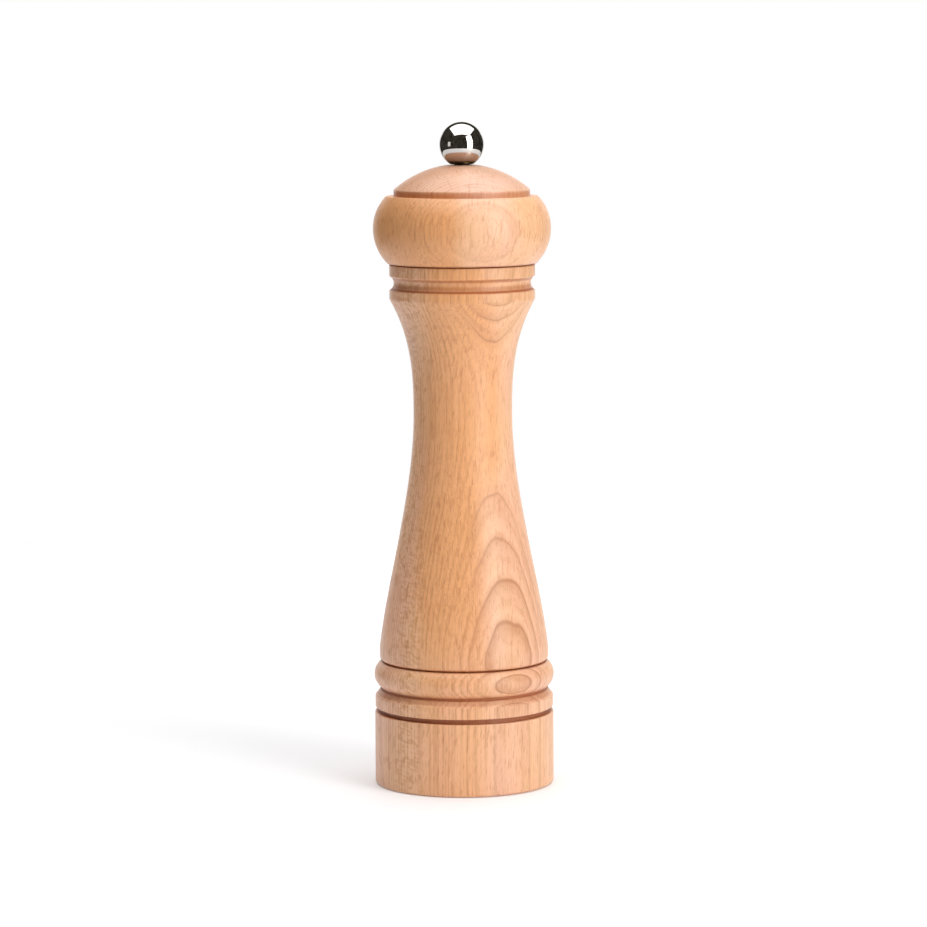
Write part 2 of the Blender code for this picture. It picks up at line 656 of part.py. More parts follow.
def make_bridge(materials):
    """A U of strip that stands on the grinding ring and guides the shaft."""
    half_width = BRIDGE_WIDTH / 2
    outer = math.sqrt(STATOR_RADIUS**2 - half_width**2)
    inner = outer - BRIDGE_THICKNESS
    under = BRIDGE_TOP - BRIDGE_THICKNESS
    outline = [
        (-outer, BRIDGE_BOTTOM),
        (-inner, BRIDGE_BOTTOM),
        (-inner, under),
        (inner, under),
        (inner, BRIDGE_BOTTOM),
        (outer, BRIDGE_BOTTOM),
        (outer, BRIDGE_TOP),
        (-outer, BRIDGE_TOP),
    ]
    sections = [[(x, y, z) for x, z in outline] for y in (-half_width, half_width)]
    bridge = skin("bridge", sections, materials["zinc_plated_steel"])
    radius = SHAFT_CORNER + CLEARANCE
    cut(bridge, round_cutter("bridge_hole", radius, under - CLEARANCE, BRIDGE_TOP + CLEARANCE))
    return bridge


def make_spring(materials):
    """A round wire wound up the shaft, as a stack of its cross sections."""
    low = SPRING_BOTTOM + SPRING_WIRE_RADIUS
    rise = SPRING_TOP - SPRING_WIRE_RADIUS - low
    count = SPRING_TURNS * SPRING_SECTIONS
    rings = []
    for section in range(count + 1):
        turn = 2 * math.pi * section / SPRING_SECTIONS
        z = low + rise * section / count
        wire = []
        for index in range(WIRE_FACETS):
            angle = 2 * math.pi * index / WIRE_FACETS
            radius = SPRING_RADIUS + SPRING_WIRE_RADIUS * math.cos(angle)
            height = z + SPRING_WIRE_RADIUS * math.sin(angle)
            wire.append((radius * math.cos(turn), radius * math.sin(turn), height))
        rings.append(wire)
    return skin("spring", rings, materials["spring_steel"])


def group(name, children, parent=None):
    """An empty on the mill's axis that carries the pieces that move together."""
    axis = bpy.data.objects.new(name, None)
    bpy.context.scene.collection.objects.link(axis)
    axis.parent = parent
    for child in children:
        child.parent = axis
    return axis


def build():
    clear_scene()
    materials = make_materials()
    make_body(materials)
    make_stator(materials)
    make_bridge(materials)
    make_retaining_plate(materials)
    steel = materials["zinc_plated_steel"]
    make_screws(
        "retaining_screw",
        RETAINING_SCREWS,
        RETAINING_SCREW_CIRCLE,
        RETAINING_FIRST_ANGLE,
        RETAINING_PLATE_BOTTOM,
        RETAINING_SHANK_RADIUS,
        RETAINING_SHANK_LENGTH,
        steel,
    )
    drive_screws = make_screws(
        "drive_plate_screw",
        DRIVE_SCREWS,
        DRIVE_SCREW_CIRCLE,
        DRIVE_FIRST_ANGLE,
        DRIVE_PLATE_BOTTOM,
        DRIVE_SHANK_RADIUS,
        DRIVE_SHANK_LENGTH,
        steel,
    )
    spring_washer = make_square_hole_plate(
        "spring_washer",
        SPRING_WASHER_RADIUS,
        SPRING_WASHER_TOP - SPRING_WASHER_THICKNESS,
        SPRING_WASHER_THICKNESS,
        steel,
    )
    rotor_washer = make_round_washer(
        "rotor_washer",
        ROTOR_WASHER_RADIUS,
        THREAD_HOLE_RADIUS,
        ROTOR_WASHER_TOP - ROTOR_WASHER_THICKNESS,
        ROTOR_WASHER_THICKNESS,
        steel,
    )
    knob_washer = make_round_washer(
        "knob_washer",
        KNOB_WASHER_RADIUS,
        THREAD_HOLE_RADIUS,
        KNOB_WASHER_BOTTOM,
        KNOB_WASHER_THICKNESS,
        steel,
    )
    turning = group("grind_turn_axis", [spring_washer, make_spring(materials)])
    spindle = [make_shaft(materials), make_rotor(materials), rotor_washer, make_rotor_nut(materials)]
    group("grind_adjust_axis", spindle, turning)
    head_pieces = [make_head(materials), make_bush(materials), make_drive_plate(materials), *drive_screws]
    head = group("head_lift_axis", head_pieces, turning)
    lifted_knob = group("knob_lift_axis", [knob_washer], head)
    group("knob_turn_axis", [make_knob(materials)], lifted_knob)


build()
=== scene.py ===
import json
import math

import bmesh
import bpy
from mathutils import Matrix, Vector
from mathutils.geometry import interpolate_bezier


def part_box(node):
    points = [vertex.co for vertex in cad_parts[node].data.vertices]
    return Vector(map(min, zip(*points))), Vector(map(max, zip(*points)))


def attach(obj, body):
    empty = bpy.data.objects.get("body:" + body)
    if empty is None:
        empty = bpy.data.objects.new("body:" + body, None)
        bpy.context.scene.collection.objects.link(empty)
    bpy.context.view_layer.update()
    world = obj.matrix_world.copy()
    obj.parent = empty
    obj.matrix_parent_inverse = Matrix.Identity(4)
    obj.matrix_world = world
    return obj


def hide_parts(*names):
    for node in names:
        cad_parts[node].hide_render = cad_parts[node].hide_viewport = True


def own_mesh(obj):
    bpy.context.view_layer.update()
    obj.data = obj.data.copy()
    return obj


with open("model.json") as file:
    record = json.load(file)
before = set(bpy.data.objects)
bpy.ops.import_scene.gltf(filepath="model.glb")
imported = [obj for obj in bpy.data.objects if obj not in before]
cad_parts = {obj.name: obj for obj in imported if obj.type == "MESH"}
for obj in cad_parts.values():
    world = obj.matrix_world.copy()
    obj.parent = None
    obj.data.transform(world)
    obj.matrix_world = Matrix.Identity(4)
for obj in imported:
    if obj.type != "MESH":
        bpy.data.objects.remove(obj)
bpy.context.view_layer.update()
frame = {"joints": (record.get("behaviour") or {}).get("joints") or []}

mm = 0.001


def heights(node):
    low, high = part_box(node)
    return low.z / mm, high.z / mm


def halfWidth(node):
    low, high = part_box(node)
    return (high.x - low.x) / 2 / mm


def newObject(name, data):
    made = bpy.data.objects.new(name, data)
    bpy.context.scene.collection.objects.link(made)
    return made


def meshOf(name, shape):
    mesh = bpy.data.meshes.new(name)
    shape.to_mesh(mesh)
    shape.free()
    return mesh


# sums on sockets add Math nodes

class Wire:
    def __init__(self, board, socket):
        self.board = board
        self.socket = socket

    def __add__(self, other):
        return self.board.maths("ADD", self, other)

    def __sub__(self, other):
        return self.board.maths("SUBTRACT", self, other)

    def __rsub__(self, other):
        return self.board.maths("SUBTRACT", other, self)

    def __mul__(self, other):
        return self.board.maths("MULTIPLY", self, other)

    def __truediv__(self, other):
        return self.board.maths("DIVIDE", self, other)

    __radd__ = __add__
    __rmul__ = __mul__


class Board:
    def __init__(self, tree, shader=None):
        self.tree = tree
        self.shader = shader

    def node(self, kind, sockets=None, out=0, **settings):
        made = self.tree.nodes.new(kind)
        for name, value in settings.items():
            if name == "stops":
                self.setStops(made.color_ramp, value)
            else:
                setattr(made, name, value)
        for name, value in (sockets or {}).items():
            self.feed(made.inputs[name], value)
        return Wire(self, made.outputs[out])

    def setStops(self, ramp, stops):
        while len(ramp.elements) < len(stops):
            ramp.elements.new(1.0)
        for element, (place, value) in zip(ramp.elements, stops):
            element.position = place
            element.color = (*value, 1.0) if isinstance(value, tuple) else (value, value, value, 1.0)

    def feed(self, socket, value):
        if isinstance(value, Wire):
            self.tree.links.new(value.socket, socket)
        elif isinstance(value, tuple) and socket.type == "RGBA":
            socket.default_value = (*value, 1.0)
        else:
            socket.default_value = value

    def paint(self, socketName, value):
        self.feed(self.shader.inputs[socketName], value)

    def maths(self, operation, first, second=None):
        sockets = {0: first} if second is None else {0: first, 1: second}
        return self.node("ShaderNodeMath", sockets, operation=operation)

    def split(self, vector):
        axes = self.node("ShaderNodeSeparateXYZ", {0: vector})
        outputs = axes.socket.node.outputs
        return [Wire(self, outputs[place]) for place in range(3)]

    def join(self, x, y, z):
        return self.node("ShaderNodeCombineXYZ", {0: x, 1: y, 2: z})

    def noise(self, place, detail=2.0, rough=0.5, scale=1.0):
        sockets = {"Vector": place, "Scale": scale, "Detail": detail, "Roughness": rough}
        return self.node("ShaderNodeTexNoise", sockets)

    def noiseAt(self, x, y, z, *look):
        return self.noise(self.join(x, y, z), *look)

    def fade(self, value, low, high):
        # 0 below low, 1 above high, smooth between them
        sockets = {"Value": value, "From Min": low, "From Max": high}
        return self.node("ShaderNodeMapRange", sockets, interpolation_type="SMOOTHSTEP")

    def blend(self, factor, first, second):
        return self.node("ShaderNodeMix", {0: factor, 6: first, 7: second}, out=2, data_type="RGBA")

    def tint(self, value, stops):
        return self.node("ShaderNodeValToRGB", {0: value}, stops=stops)

    def bump(self, height, strength, distance):
        sockets = {"Height": height, "Strength": strength, "Distance": distance}
        return self.node("ShaderNodeBump", sockets)


def newMaterial(name, **fixed):
    material = bpy.data.materials.new(name)
    material.use_nodes = True
    board = Board(material.node_tree, material.node_tree.nodes["Principled BSDF"])
    for socketName, value in fixed.items():
        board.paint(socketName.replace("_", " "), value)
    return material, board


def placeInMm(board):
    # where a point is on its piece, in millimetres
    place = board.node("ShaderNodeTexCoord", out=3)
    scaled = board.node("ShaderNodeVectorMath", {0: place, "Scale": 1 / mm}, operation="SCALE")
    return board.split(scaled)


# beech

beech = {
    "pale": (0.865, 0.510, 0.292),
    "orange": (0.810, 0.382, 0.155),
    "deep": (0.530, 0.205, 0.072),
    "pink": (0.880, 0.515, 0.340),
    "ringLine": (0.420, 0.165, 0.070),
    "pore": (0.290, 0.085, 0.024),
    "ray": (0.520, 0.200, 0.080),
    "silver": (0.900, 0.600, 0.395),
    # painted shade: the colour laid into the grooves
    "creaseShadeColour": (0.370, 0.095, 0.024),
    "crown": (0.700, 0.445, 0.345),
    "roughness": 0.40, "coat": 0.17, "coatRoughness": 0.3, "shine": 0.38,
    "ringCurve": 0.0028, "ringDrift": 3.0, "ringRipple": 0.8, "growthSpacing": 1.25,
}
beechShow = {
    "streaks": 0.55, "threads": 0.42, "paleThreads": 0.34, "growth": 0.50, "rays": 0.37, "longRays": 0.30,
    "pores": 0.28, "finePores": 0.26, "flecks": 0.28, "fleckShades": 0.30, "crown": 0.62,
    "bump": 0.35, "bumpDepth": 0.00005,
}


def between(board, value, low, high, soft):
    # 1 from low to high, and 0 further than soft outside them
    return board.fade(value, low - soft, low) * (1 - board.fade(value, high, high + soft))


def makeBeech(
        name, facing, spacing, firstRing, lean, seed, contrast, grain, stripe, silver, crown, shadedCreases):
    # facing: which way the bark lay, in degrees to the right of the front
    # contrast, grain: how strongly the rings and the fine lines show
    # stripe: strength and both sides of the broad stripe of stronger colour
    # silver: strength of the flecks up the left side
    # crown: height above which the cut runs across the grain
    # the last argument gives the height, reach, outermost radius and strength of the painted shade darkening
    # each groove
    material, board = newMaterial(
        name, Specular_IOR_Level=beech["shine"], Coat_Roughness=beech["coatRoughness"], IOR=1.5)

    def over(colour, share, tone):
        return board.blend(share, colour, beech[tone])

    x, y, z = placeInMm(board)
    sine = math.sin(math.radians(facing))
    cosine = math.cos(math.radians(facing))
    outward = x * sine - y * cosine
    across = x * cosine + y * sine
    drift = board.noiseAt(across * 0.035 + seed, outward * 0.05, z * 0.011, 2.0)
    ripple = board.noiseAt(across * 0.16, outward * 0.16 + seed, z * 0.035, 2.0)
    cloud = board.noiseAt(across * 0.06, outward * 0.06, z * 0.02 + seed, 2.0)
    # the rings are wide arcs round a pith far behind the piece
    depth = outward - across * across * beech["ringCurve"] + z * lean
    depth = depth + (drift - 0.5) * beech["ringDrift"] + (ripple - 0.5) * beech["ringRipple"]
    turns = (depth - firstRing) / spacing
    year = board.maths("FLOOR", turns)
    phase = board.maths("FRACT", turns)
    yearTone = board.node("ShaderNodeTexWhiteNoise", {"W": year + seed}, noise_dimensions="1D")
    # the rings show on the bark side and fade into fine stripes beside it
    flat = 1 - board.fade(board.maths("ABSOLUTE", across - 3.0), 7.0, 17.0)
    showing = (flat * 0.88 + 0.12) * (yearTone * 0.7 + 0.42) * contrast
    showing = showing * board.fade(outward, 15.2, 18.6)
    # they are calmer near both ends
    showing = showing * (between(board, z, 32.0, 144.0, 10.0) * 0.5 + 0.5)
    late = board.tint(
        phase, [(0.0, 0.95), (0.07, 0.52), (0.35, 0.26), (0.78, 0.06), (0.93, 0.30), (1.0, 1.0)])
    # fine streaks along the grain
    stripeShare, stripeLow, stripeHigh = stripe
    wider = between(board, z, 104.0, 130.0, 20.0) * 4.5
    band = between(board, x + (drift - 0.5) * 9.0 - z * 0.02, stripeLow, stripeHigh + wider, 8.0)
    band = band * (board.fade(z, 25.0, 60.0) * 0.45 + 0.55)
    streak = board.noiseAt(across * 1.3, outward * 1.3, z * 0.02 + seed, 3.0, 0.62)
    thread = board.noiseAt(across * 3.4, outward * 3.4, z * 0.035 + seed, 2.0, 0.6)
    colour = board.blend(board.fade(cloud, 0.40, 0.66), beech["pale"], beech["pink"])
    colour = over(colour, band * stripeShare, "orange")
    edgeGrain = (1 - flat * 0.5) * grain
    darkStreak = board.fade(streak, 0.44, 0.80) * edgeGrain
    darkThread = board.fade(thread, 0.50, 0.78) * edgeGrain
    colour = over(colour, darkStreak * beechShow["streaks"], "deep")
    colour = over(colour, darkThread * beechShow["threads"], "deep")
    paleThread = board.fade(1 - thread, 0.52, 0.80) * edgeGrain
    colour = over(colour, paleThread * beechShow["paleThreads"], "silver")
    # growth lines finer than the rings run with them
    wave = board.maths("FRACT", (depth + (streak - 0.5) * 1.1) / beech["growthSpacing"])
    wave = board.maths("ABSOLUTE", wave * 2.0 - 1.0)
    uneven = board.noiseAt(across * 0.2, outward * 0.5 + seed, z * 0.03, 1.0)
    lines = board.fade(wave, 0.45, 1.0) * (board.fade(uneven, 0.38, 0.62) * 0.75 + 0.25)
    topped = board.fade(z, crown - 0.5, crown + 3.0)
    colour = over(colour, topped * beechShow["crown"], "crown")
    growth = beechShow["growth"] - flat * 0.28 + topped * 0.25
    colour = over(colour, lines * growth * grain, "deep")
    colour = over(colour, board.maths("MINIMUM", late * showing, 0.8), "ringLine")
    # silver flecks where the rays lie flat to the surface, in a ripple up one side
    side = between(board, x + (ripple - 0.5) * 6.0, -18.0, -16.0, 4.5)
    side = side * (1 - board.fade(y, -9.0, 5.0) * 0.65)
    scale = board.noiseAt(x * 0.50 + seed, y * 0.50, z * 1.15 + x * 0.3, 0.0)
    fleck = side * board.fade(scale, 0.50, 0.66) * (silver * beechShow["flecks"])
    fleckShade = side * board.fade(1 - scale, 0.52, 0.66) * (silver * beechShow["fleckShades"])
    colour = over(colour, fleck, "silver")
    colour = over(colour, fleckShade, "deep")
    # rays: short upright dashes, slanting a little
    slant = across - z * 0.10
    ray = board.noiseAt(slant * 1.9, outward * 0.35, z * 0.26 + seed, 1.0, 0.4)
    longRay = board.noiseAt(slant * 1.0, outward * 0.2 + seed, z * 0.16, 1.0, 0.4)
    rays = board.fade(ray, 0.60, 0.70)
    colour = over(colour, rays * beechShow["rays"], "ray")
    colour = over(colour, board.fade(longRay, 0.66, 0.74) * beechShow["longRays"], "ray")
    # pores: dark dashes that show from afar, and finer ones between them
    pore = board.noiseAt(across * 2.7 + seed, outward * 2.7, z * 0.24, 1.0)
    pores = board.fade(pore, 0.62, 0.74)
    fine = board.noiseAt(across * 8.0, outward * 8.0, z * 0.42, 1.0)
    colour = over(colour, pores * beechShow["pores"], "pore")
    colour = over(colour, board.fade(fine, 0.54, 0.76) * beechShow["finePores"], "pore")
    # painted shade: the wood is darkened in the grooves, where shade falls
    radius = board.maths("SQRT", x * x + y * y)
    paintedShade = 0.0
    for height, reach, limit, strength in shadedCreases:
        near = 1 - board.fade(board.maths("ABSOLUTE", z - height), reach * 0.35, reach)
        inside = 1 - board.fade(radius, limit - 0.5, limit)
        paintedShade = near * inside * strength + paintedShade
    paintedShade = board.maths("MINIMUM", paintedShade, 1.0)
    colour = over(colour, paintedShade, "creaseShadeColour")
    board.paint("Coat Weight", beech["coat"] - paintedShade * beech["coat"])
    board.paint("Base Color", colour)
    rough = board.noiseAt(x * 0.4, y * 0.4, z * 0.4, 3.0)
    board.paint("Roughness", (rough - 0.5) * 0.10 + beech["roughness"] + pores * 0.12)
    chatter = board.noiseAt(radius * 1.3, 0.0, z * 3.2, 2.0)
    height = chatter * 0.25 - pores * 0.7 - rays * 0.35 + streak * 0.3
    bump = board.bump(height, beechShow["bump"], beechShow["bumpDepth"])
    board.paint("Normal", bump)
    return material


# metals

# painted shade: the neck colour stands in for the shade under the ball
mirrorLook = {"unshaded": (0.60, 0.575, 0.545), "neckShade": (0.40, 0.33, 0.28), "neckShadeTo": 0.5, "unshadedFrom": 5.5}


def makeMirrorSteel():
    material, board = newMaterial("mirrorSteel", Metallic=1.0)
    x, y, z = placeInMm(board)
    # painted shade: the mirror is darker towards the neck, standing in for the shade where the ball sits on
    # the head
    neck = heights("adjusting_knob")[0]
    unshaded = board.fade(z, neck + mirrorLook["neckShadeTo"], neck + mirrorLook["unshadedFrom"])
    colour = board.blend(unshaded, mirrorLook["neckShade"], mirrorLook["unshaded"])
    board.paint("Base Color", colour)
    wipe = board.noiseAt(x * 0.5, y * 0.5, z * 0.5, 3.0)
    board.paint("Roughness", board.fade(wipe, 0.35, 0.8) * 0.03 + 0.012)
    scuff = board.noiseAt(x * 2.0, y * 2.0, z * 30.0, 2.0)
    board.paint("Normal", board.bump(scuff, 0.02, 0.00001))
    return material


def makeMetal(name, pale, deep, roughness, grain, marks):
    # grain: how fast the finish varies along x, y and z, per millimetre
    material, board = newMaterial(name, Metallic=1.0)
    x, y, z = placeInMm(board)
    cloud = board.noiseAt(x * 0.35, y * 0.35, z * 0.35, 4.0, 0.6)
    line = board.noiseAt(x * grain[0], y * grain[1], z * grain[2], 3.0, 0.6)
    spots = board.fade(board.noiseAt(x * 1.8, y * 1.8, z * 1.8, 2.0), 0.62, 0.75)
    colour = board.blend(board.fade(cloud, 0.3, 0.75), pale, deep)
    colour = board.blend(spots * 0.25, colour, deep)
    board.paint("Base Color", colour)
    board.paint("Roughness", (line - 0.5) * 0.22 + (cloud - 0.5) * 0.12 + roughness)
    board.paint("Normal", board.bump(line, marks, 0.00004))
    return material


# shapes

spindleRadius = 40.0  # of the circle that an outline is carried round, in millimetres
cornerSteps = 5
sharpAngle = 34  # degrees between faces past which an edge stays sharp
weldDistance = 1e-7
springShape = {
    "turns": 6.0, "radius": 4.99, "wire": 0.45, "stepsPerTurn": 48, "wireFacets": 20,
    "closeTurns": 0.14, "closeRise": 0.07,
}


def arc(centre, radius, first, last, steps):
    points = []
    for index in range(steps + 1):
        angle = math.radians(first + (last - first) * index / steps)
        points.append((centre[0] + radius * math.cos(angle), centre[1] + radius * math.sin(angle)))
    return points


def swell(edge, bulge, low, high, steps):
    # an arc that stands out by bulge at its middle, or in if that is negative
    half = (high - low) / 2
    radius = (half**2 + bulge**2) / (2 * bulge)
    reach = math.degrees(math.asin(min(1.0, half / abs(radius))))
    centre = edge + bulge - radius
    if bulge > 0:
        return arc((centre, low + half), radius, -reach, reach, steps)
    return arc((centre, low + half), -radius, 180 + reach, 180 - reach, steps)


def sweep(start, startHandle, endHandle, end, steps):
    knots = [(x, z, 0.0) for x, z in (start, startHandle, endHandle, end)]
    return [(point.x, point.y) for point in interpolate_bezier(*knots, steps + 1)]


def softened(outline):
    # a third number on a point rounds that corner by so many millimetres
    points = []
    count = len(outline)
    for index, point in enumerate(outline):
        corner = Vector(point[:2])
        before = Vector(outline[index - 1][:2]) - corner
        after = Vector(outline[(index + 1) % count][:2]) - corner
        if len(point) < 3 or min(before.length, after.length) < 1e-6:
            points.append(tuple(corner))
            continue
        size = min(point[2], 0.45 * before.length, 0.45 * after.length)
        first = corner + before.normalized() * size
        last = corner + after.normalized() * size
        points.append(tuple(corner + before.normalized() * min(size * 1.25, 0.49 * before.length)))
        for step in range(cornerSteps + 1):
            share = step / cornerSteps
            bend = corner * 2 * share * (1 - share)
            points.append(tuple(first * (1 - share)**2 + bend + last * share**2))
        points.append(tuple(corner + after.normalized() * min(size * 1.25, 0.49 * after.length)))
    return points


def makeGroup(name, inputs):
    tree = bpy.data.node_groups.new(name, "GeometryNodeTree")
    tree.interface.new_socket("Geometry", in_out="INPUT", socket_type="NodeSocketGeometry")
    sockets = {}
    for label, kind in inputs.items():
        socketType = "NodeSocket" + kind
        sockets[label] = tree.interface.new_socket(label, in_out="INPUT", socket_type=socketType)
    tree.interface.new_socket("Geometry", in_out="OUTPUT", socket_type="NodeSocketGeometry")
    board = Board(tree)
    start = tree.nodes.new("NodeGroupInput")
    given = {socket.name: Wire(board, socket) for socket in start.outputs if socket.name}
    return tree, board, given, {label: socket.identifier for label, socket in sockets.items()}


def endGroup(board, geometry, material):
    real = board.node("GeometryNodeRealizeInstances", {"Geometry": geometry})
    painted = board.node("GeometryNodeSetMaterial", {"Geometry": real, "Material": material})
    end = board.tree.nodes.new("NodeGroupOutput")
    board.feed(end.inputs[0], painted)


def makeLatheGroup():
    labels = {"Facets": "Int", "Spindle": "Float", "Material": "Material"}
    tree, board, given, ids = makeGroup("carryRoundAxis", labels)
    circle = board.node("GeometryNodeCurvePrimitiveCircle", {
        "Resolution": given["Facets"], "Radius": given["Spindle"]})
    skin = board.node("GeometryNodeCurveToMesh", {
        "Curve": circle, "Profile Curve": given["Geometry"]})
    endGroup(board, skin, given["Material"])
    return tree, ids


def makeCoilGroup():
    labels = {
        "Turns": "Float", "Radius": "Float", "Wire": "Float", "Low": "Float", "Height": "Float",
        "Material": "Material"}
    tree, board, given, ids = makeGroup("windCoil", labels)
    spiral = board.node("GeometryNodeCurveSpiral", {
        "Resolution": springShape["stepsPerTurn"], "Rotations": given["Turns"],
        "Start Radius": given["Radius"], "End Radius": given["Radius"], "Height": 0.0})
    along = board.node("GeometryNodeSplineParameter")
    # the end turns close up, as they do on a ground coil
    climb = board.node("ShaderNodeFloatCurve", {"Factor": 1.0, "Value": along})
    curve = climb.socket.node.mapping.curves[0]
    curve.points[0].location = (0.0, 0.0)
    curve.points[1].location = (1.0, 1.0)
    closeTurns, closeRise = springShape["closeTurns"], springShape["closeRise"]
    for share, rise in ((closeTurns, closeRise), (1 - closeTurns, 1 - closeRise)):
        curve.points.new(share, rise)
    climb.socket.node.mapping.update()
    offset = board.join(0.0, 0.0, climb * given["Height"] + given["Low"])
    raised = board.node("GeometryNodeSetPosition", {"Geometry": spiral, "Offset": offset})
    profile = board.node("GeometryNodeCurvePrimitiveCircle", {
        "Resolution": springShape["wireFacets"], "Radius": given["Wire"]})
    skin = board.node("GeometryNodeCurveToMesh", {
        "Curve": raised, "Profile Curve": profile, "Fill Caps": True})
    endGroup(board, skin, given["Material"])
    return tree, ids


def makeRoundGroup():
    # sets copies of the incoming piece round the axis
    labels = {"Count": "Int", "Circle": "Float", "First": "Float", "Seed": "Int", "Material": "Material"}
    tree, board, given, ids = makeGroup("setRoundAxis", labels)
    index = board.node("GeometryNodeInputIndex")
    angle = given["First"] + index * (2 * math.pi) / given["Count"]
    right, back = board.maths("COSINE", angle), board.maths("SINE", angle)
    spot = board.join(right * given["Circle"], back * given["Circle"], 0.0)
    points = board.node("GeometryNodePoints", {"Count": given["Count"], "Position": spot})
    spin = board.node(
        "FunctionNodeRandomValue", {2: 0.0, 3: 2 * math.pi, "Seed": given["Seed"]}, out=1, data_type="FLOAT")
    copies = board.node("GeometryNodeInstanceOnPoints", {
        "Points": points, "Instance": given["Geometry"], "Rotation": board.join(0.0, 0.0, spin)})
    endGroup(board, copies, given["Material"])
    return tree, ids


def plainMesh(item):
    # the item's mesh with its modifiers run
    bpy.context.view_layer.update()
    graph = bpy.context.evaluated_depsgraph_get()
    mesh = bpy.data.meshes.new_from_object(
        item.evaluated_get(graph), preserve_all_data_layers=True, depsgraph=graph)
    item.modifiers.clear()
    return mesh


def settle(item, name, tree, ids, values):
    # runs the tree once and keeps its result
    modifier = item.modifiers.new(tree.name, "NODES")
    modifier.node_group = tree
    for label, value in values.items():
        modifier[ids[label]] = value
    mesh = plainMesh(item)
    bpy.data.objects.remove(item)
    return finishMesh(name, mesh)


def finishMesh(name, mesh):
    mesh.name = name
    shape = bmesh.new()
    shape.from_mesh(mesh)
    bmesh.ops.remove_doubles(shape, verts=shape.verts, dist=weldDistance)
    bmesh.ops.recalc_face_normals(shape, faces=shape.faces)
    shape.to_mesh(mesh)
    shape.free()
    mesh.shade_smooth()
    mesh.set_sharp_from_angle(angle=math.radians(sharpAngle))
    return newObject(name, mesh)


def lathe(name, outline, material, facets=96):
    curve = bpy.data.curves.new(name + "Outline", "CURVE")
    curve.dimensions = "3D"
    points = softened(outline)
    spline = curve.splines.new("POLY")
    spline.points.add(len(points) - 1)
    for knot, (radius, z) in zip(spline.points, points):
        knot.co = ((radius - spindleRadius) * mm, -z * mm, 0.0, 1.0)
    spline.use_cyclic_u = True
    values = {"Facets": facets, "Spindle": spindleRadius * mm, "Material": material}
    return settle(newObject(name + "Outline", curve), name, *latheGroup, values)


def ringOf(count, z, radiusAt, turn=0.0):
    points = []
    for index in range(count):
        angle = 2 * math.pi * index / count
        radius = radiusAt(angle)
        points.append((radius * math.cos(angle + turn), radius * math.sin(angle + turn), z))
    return points


def circleOf(radius):
    return lambda angle: radius


def stack(size, *levels):
    # a ring for each height, with a radius or the outline's distance at each angle
    return [
        ringOf(size["facets"], z, reach if callable(reach) else circleOf(reach))
        for z, reach in levels]


def skinOver(name, rings, material, closed=False):
    # a shape through rings of equal count, capped, or closed into a loop round a hole
    shape = bmesh.new()
    loops = [[shape.verts.new([value * mm for value in point]) for point in points] for points in rings]
    pairs = list(zip(loops, loops[1:]))
    if closed:
        pairs.append((loops[-1], loops[0]))
    else:
        shape.faces.new(loops[0])
        shape.faces.new(loops[-1])
    for low, high in pairs:
        for index in range(len(low)):
            following = (index + 1) % len(low)
            shape.faces.new((low[index], low[following], high[following], high[index]))
    mesh = meshOf(name, shape)
    mesh.materials.append(material)
    return finishMesh(name, mesh)


def roundedSquare(side, corner, sides=4):
    # distance from the axis to a bar's surface, its corners rounded
    step = 2 * math.pi / sides

    def radiusAt(angle):
        fromFlat = (angle + step / 2) % step - step / 2
        return min(side / 2 / math.cos(fromFlat), side / 2 / math.cos(step / 2) - corner)

    return radiusAt


def place(piece, body, slotName, *nodes):
    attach(piece, body)
    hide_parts(*nodes)
    return piece


zincSlot = "zinc_plated_steel"
latheGroup = makeLatheGroup()
coilGroup = makeCoilGroup()
roundGroup = makeRoundGroup()
print("trees ready")

# body

bodyShape = {
    "baseRadius": 27.9, "baseHeight": 22.5, "footEdge": 0.6,
    "grooveWidth": 1.5, "grooveDepth": 1.8,
    "ringRadius": 27.75, "ringHeight": 3.6, "ringSlope": 1.95, "slopeHeight": 2.35,
    "beadRadius": 28.0, "beadHeight": 8.35, "beadBulge": 2.2,
    "footGap": 0.2, "footRadius": 26.3, "footRound": 1.3, "footHeight": 3.9,
    "waistRadius": 15.3, "lowerSweep": 73.5, "upperSweep": 34.8,
    "collarRadius": 22.55, "collarUndercut": 0.35, "collarEdge": 1.4,
    "lowerBand": 1.9, "coveHeight": 4.5, "coveDepth": 1.35, "upperBand": 3.5,
    "socketRadius": 14.0, "socketDepth": 15.1, "chamberRadius": 11.5,
    "shoulder": 44.0, "mechanismRadius": 13.6, "recessDepth": 13.0, "recessRadius": 20.0,
    "facets": 256,
}


def bodyLevels(size):
    # the height at which each feature ends, from the base up
    levels = [size["baseHeight"]]
    for feature in (
            "grooveWidth", "ringHeight", "slopeHeight", "beadHeight", "footGap", "footHeight",
            "lowerSweep", "upperSweep", "collarEdge", "lowerBand", "coveHeight", "upperBand"):
        levels.append(levels[-1] + size[feature])
    return levels[1:]


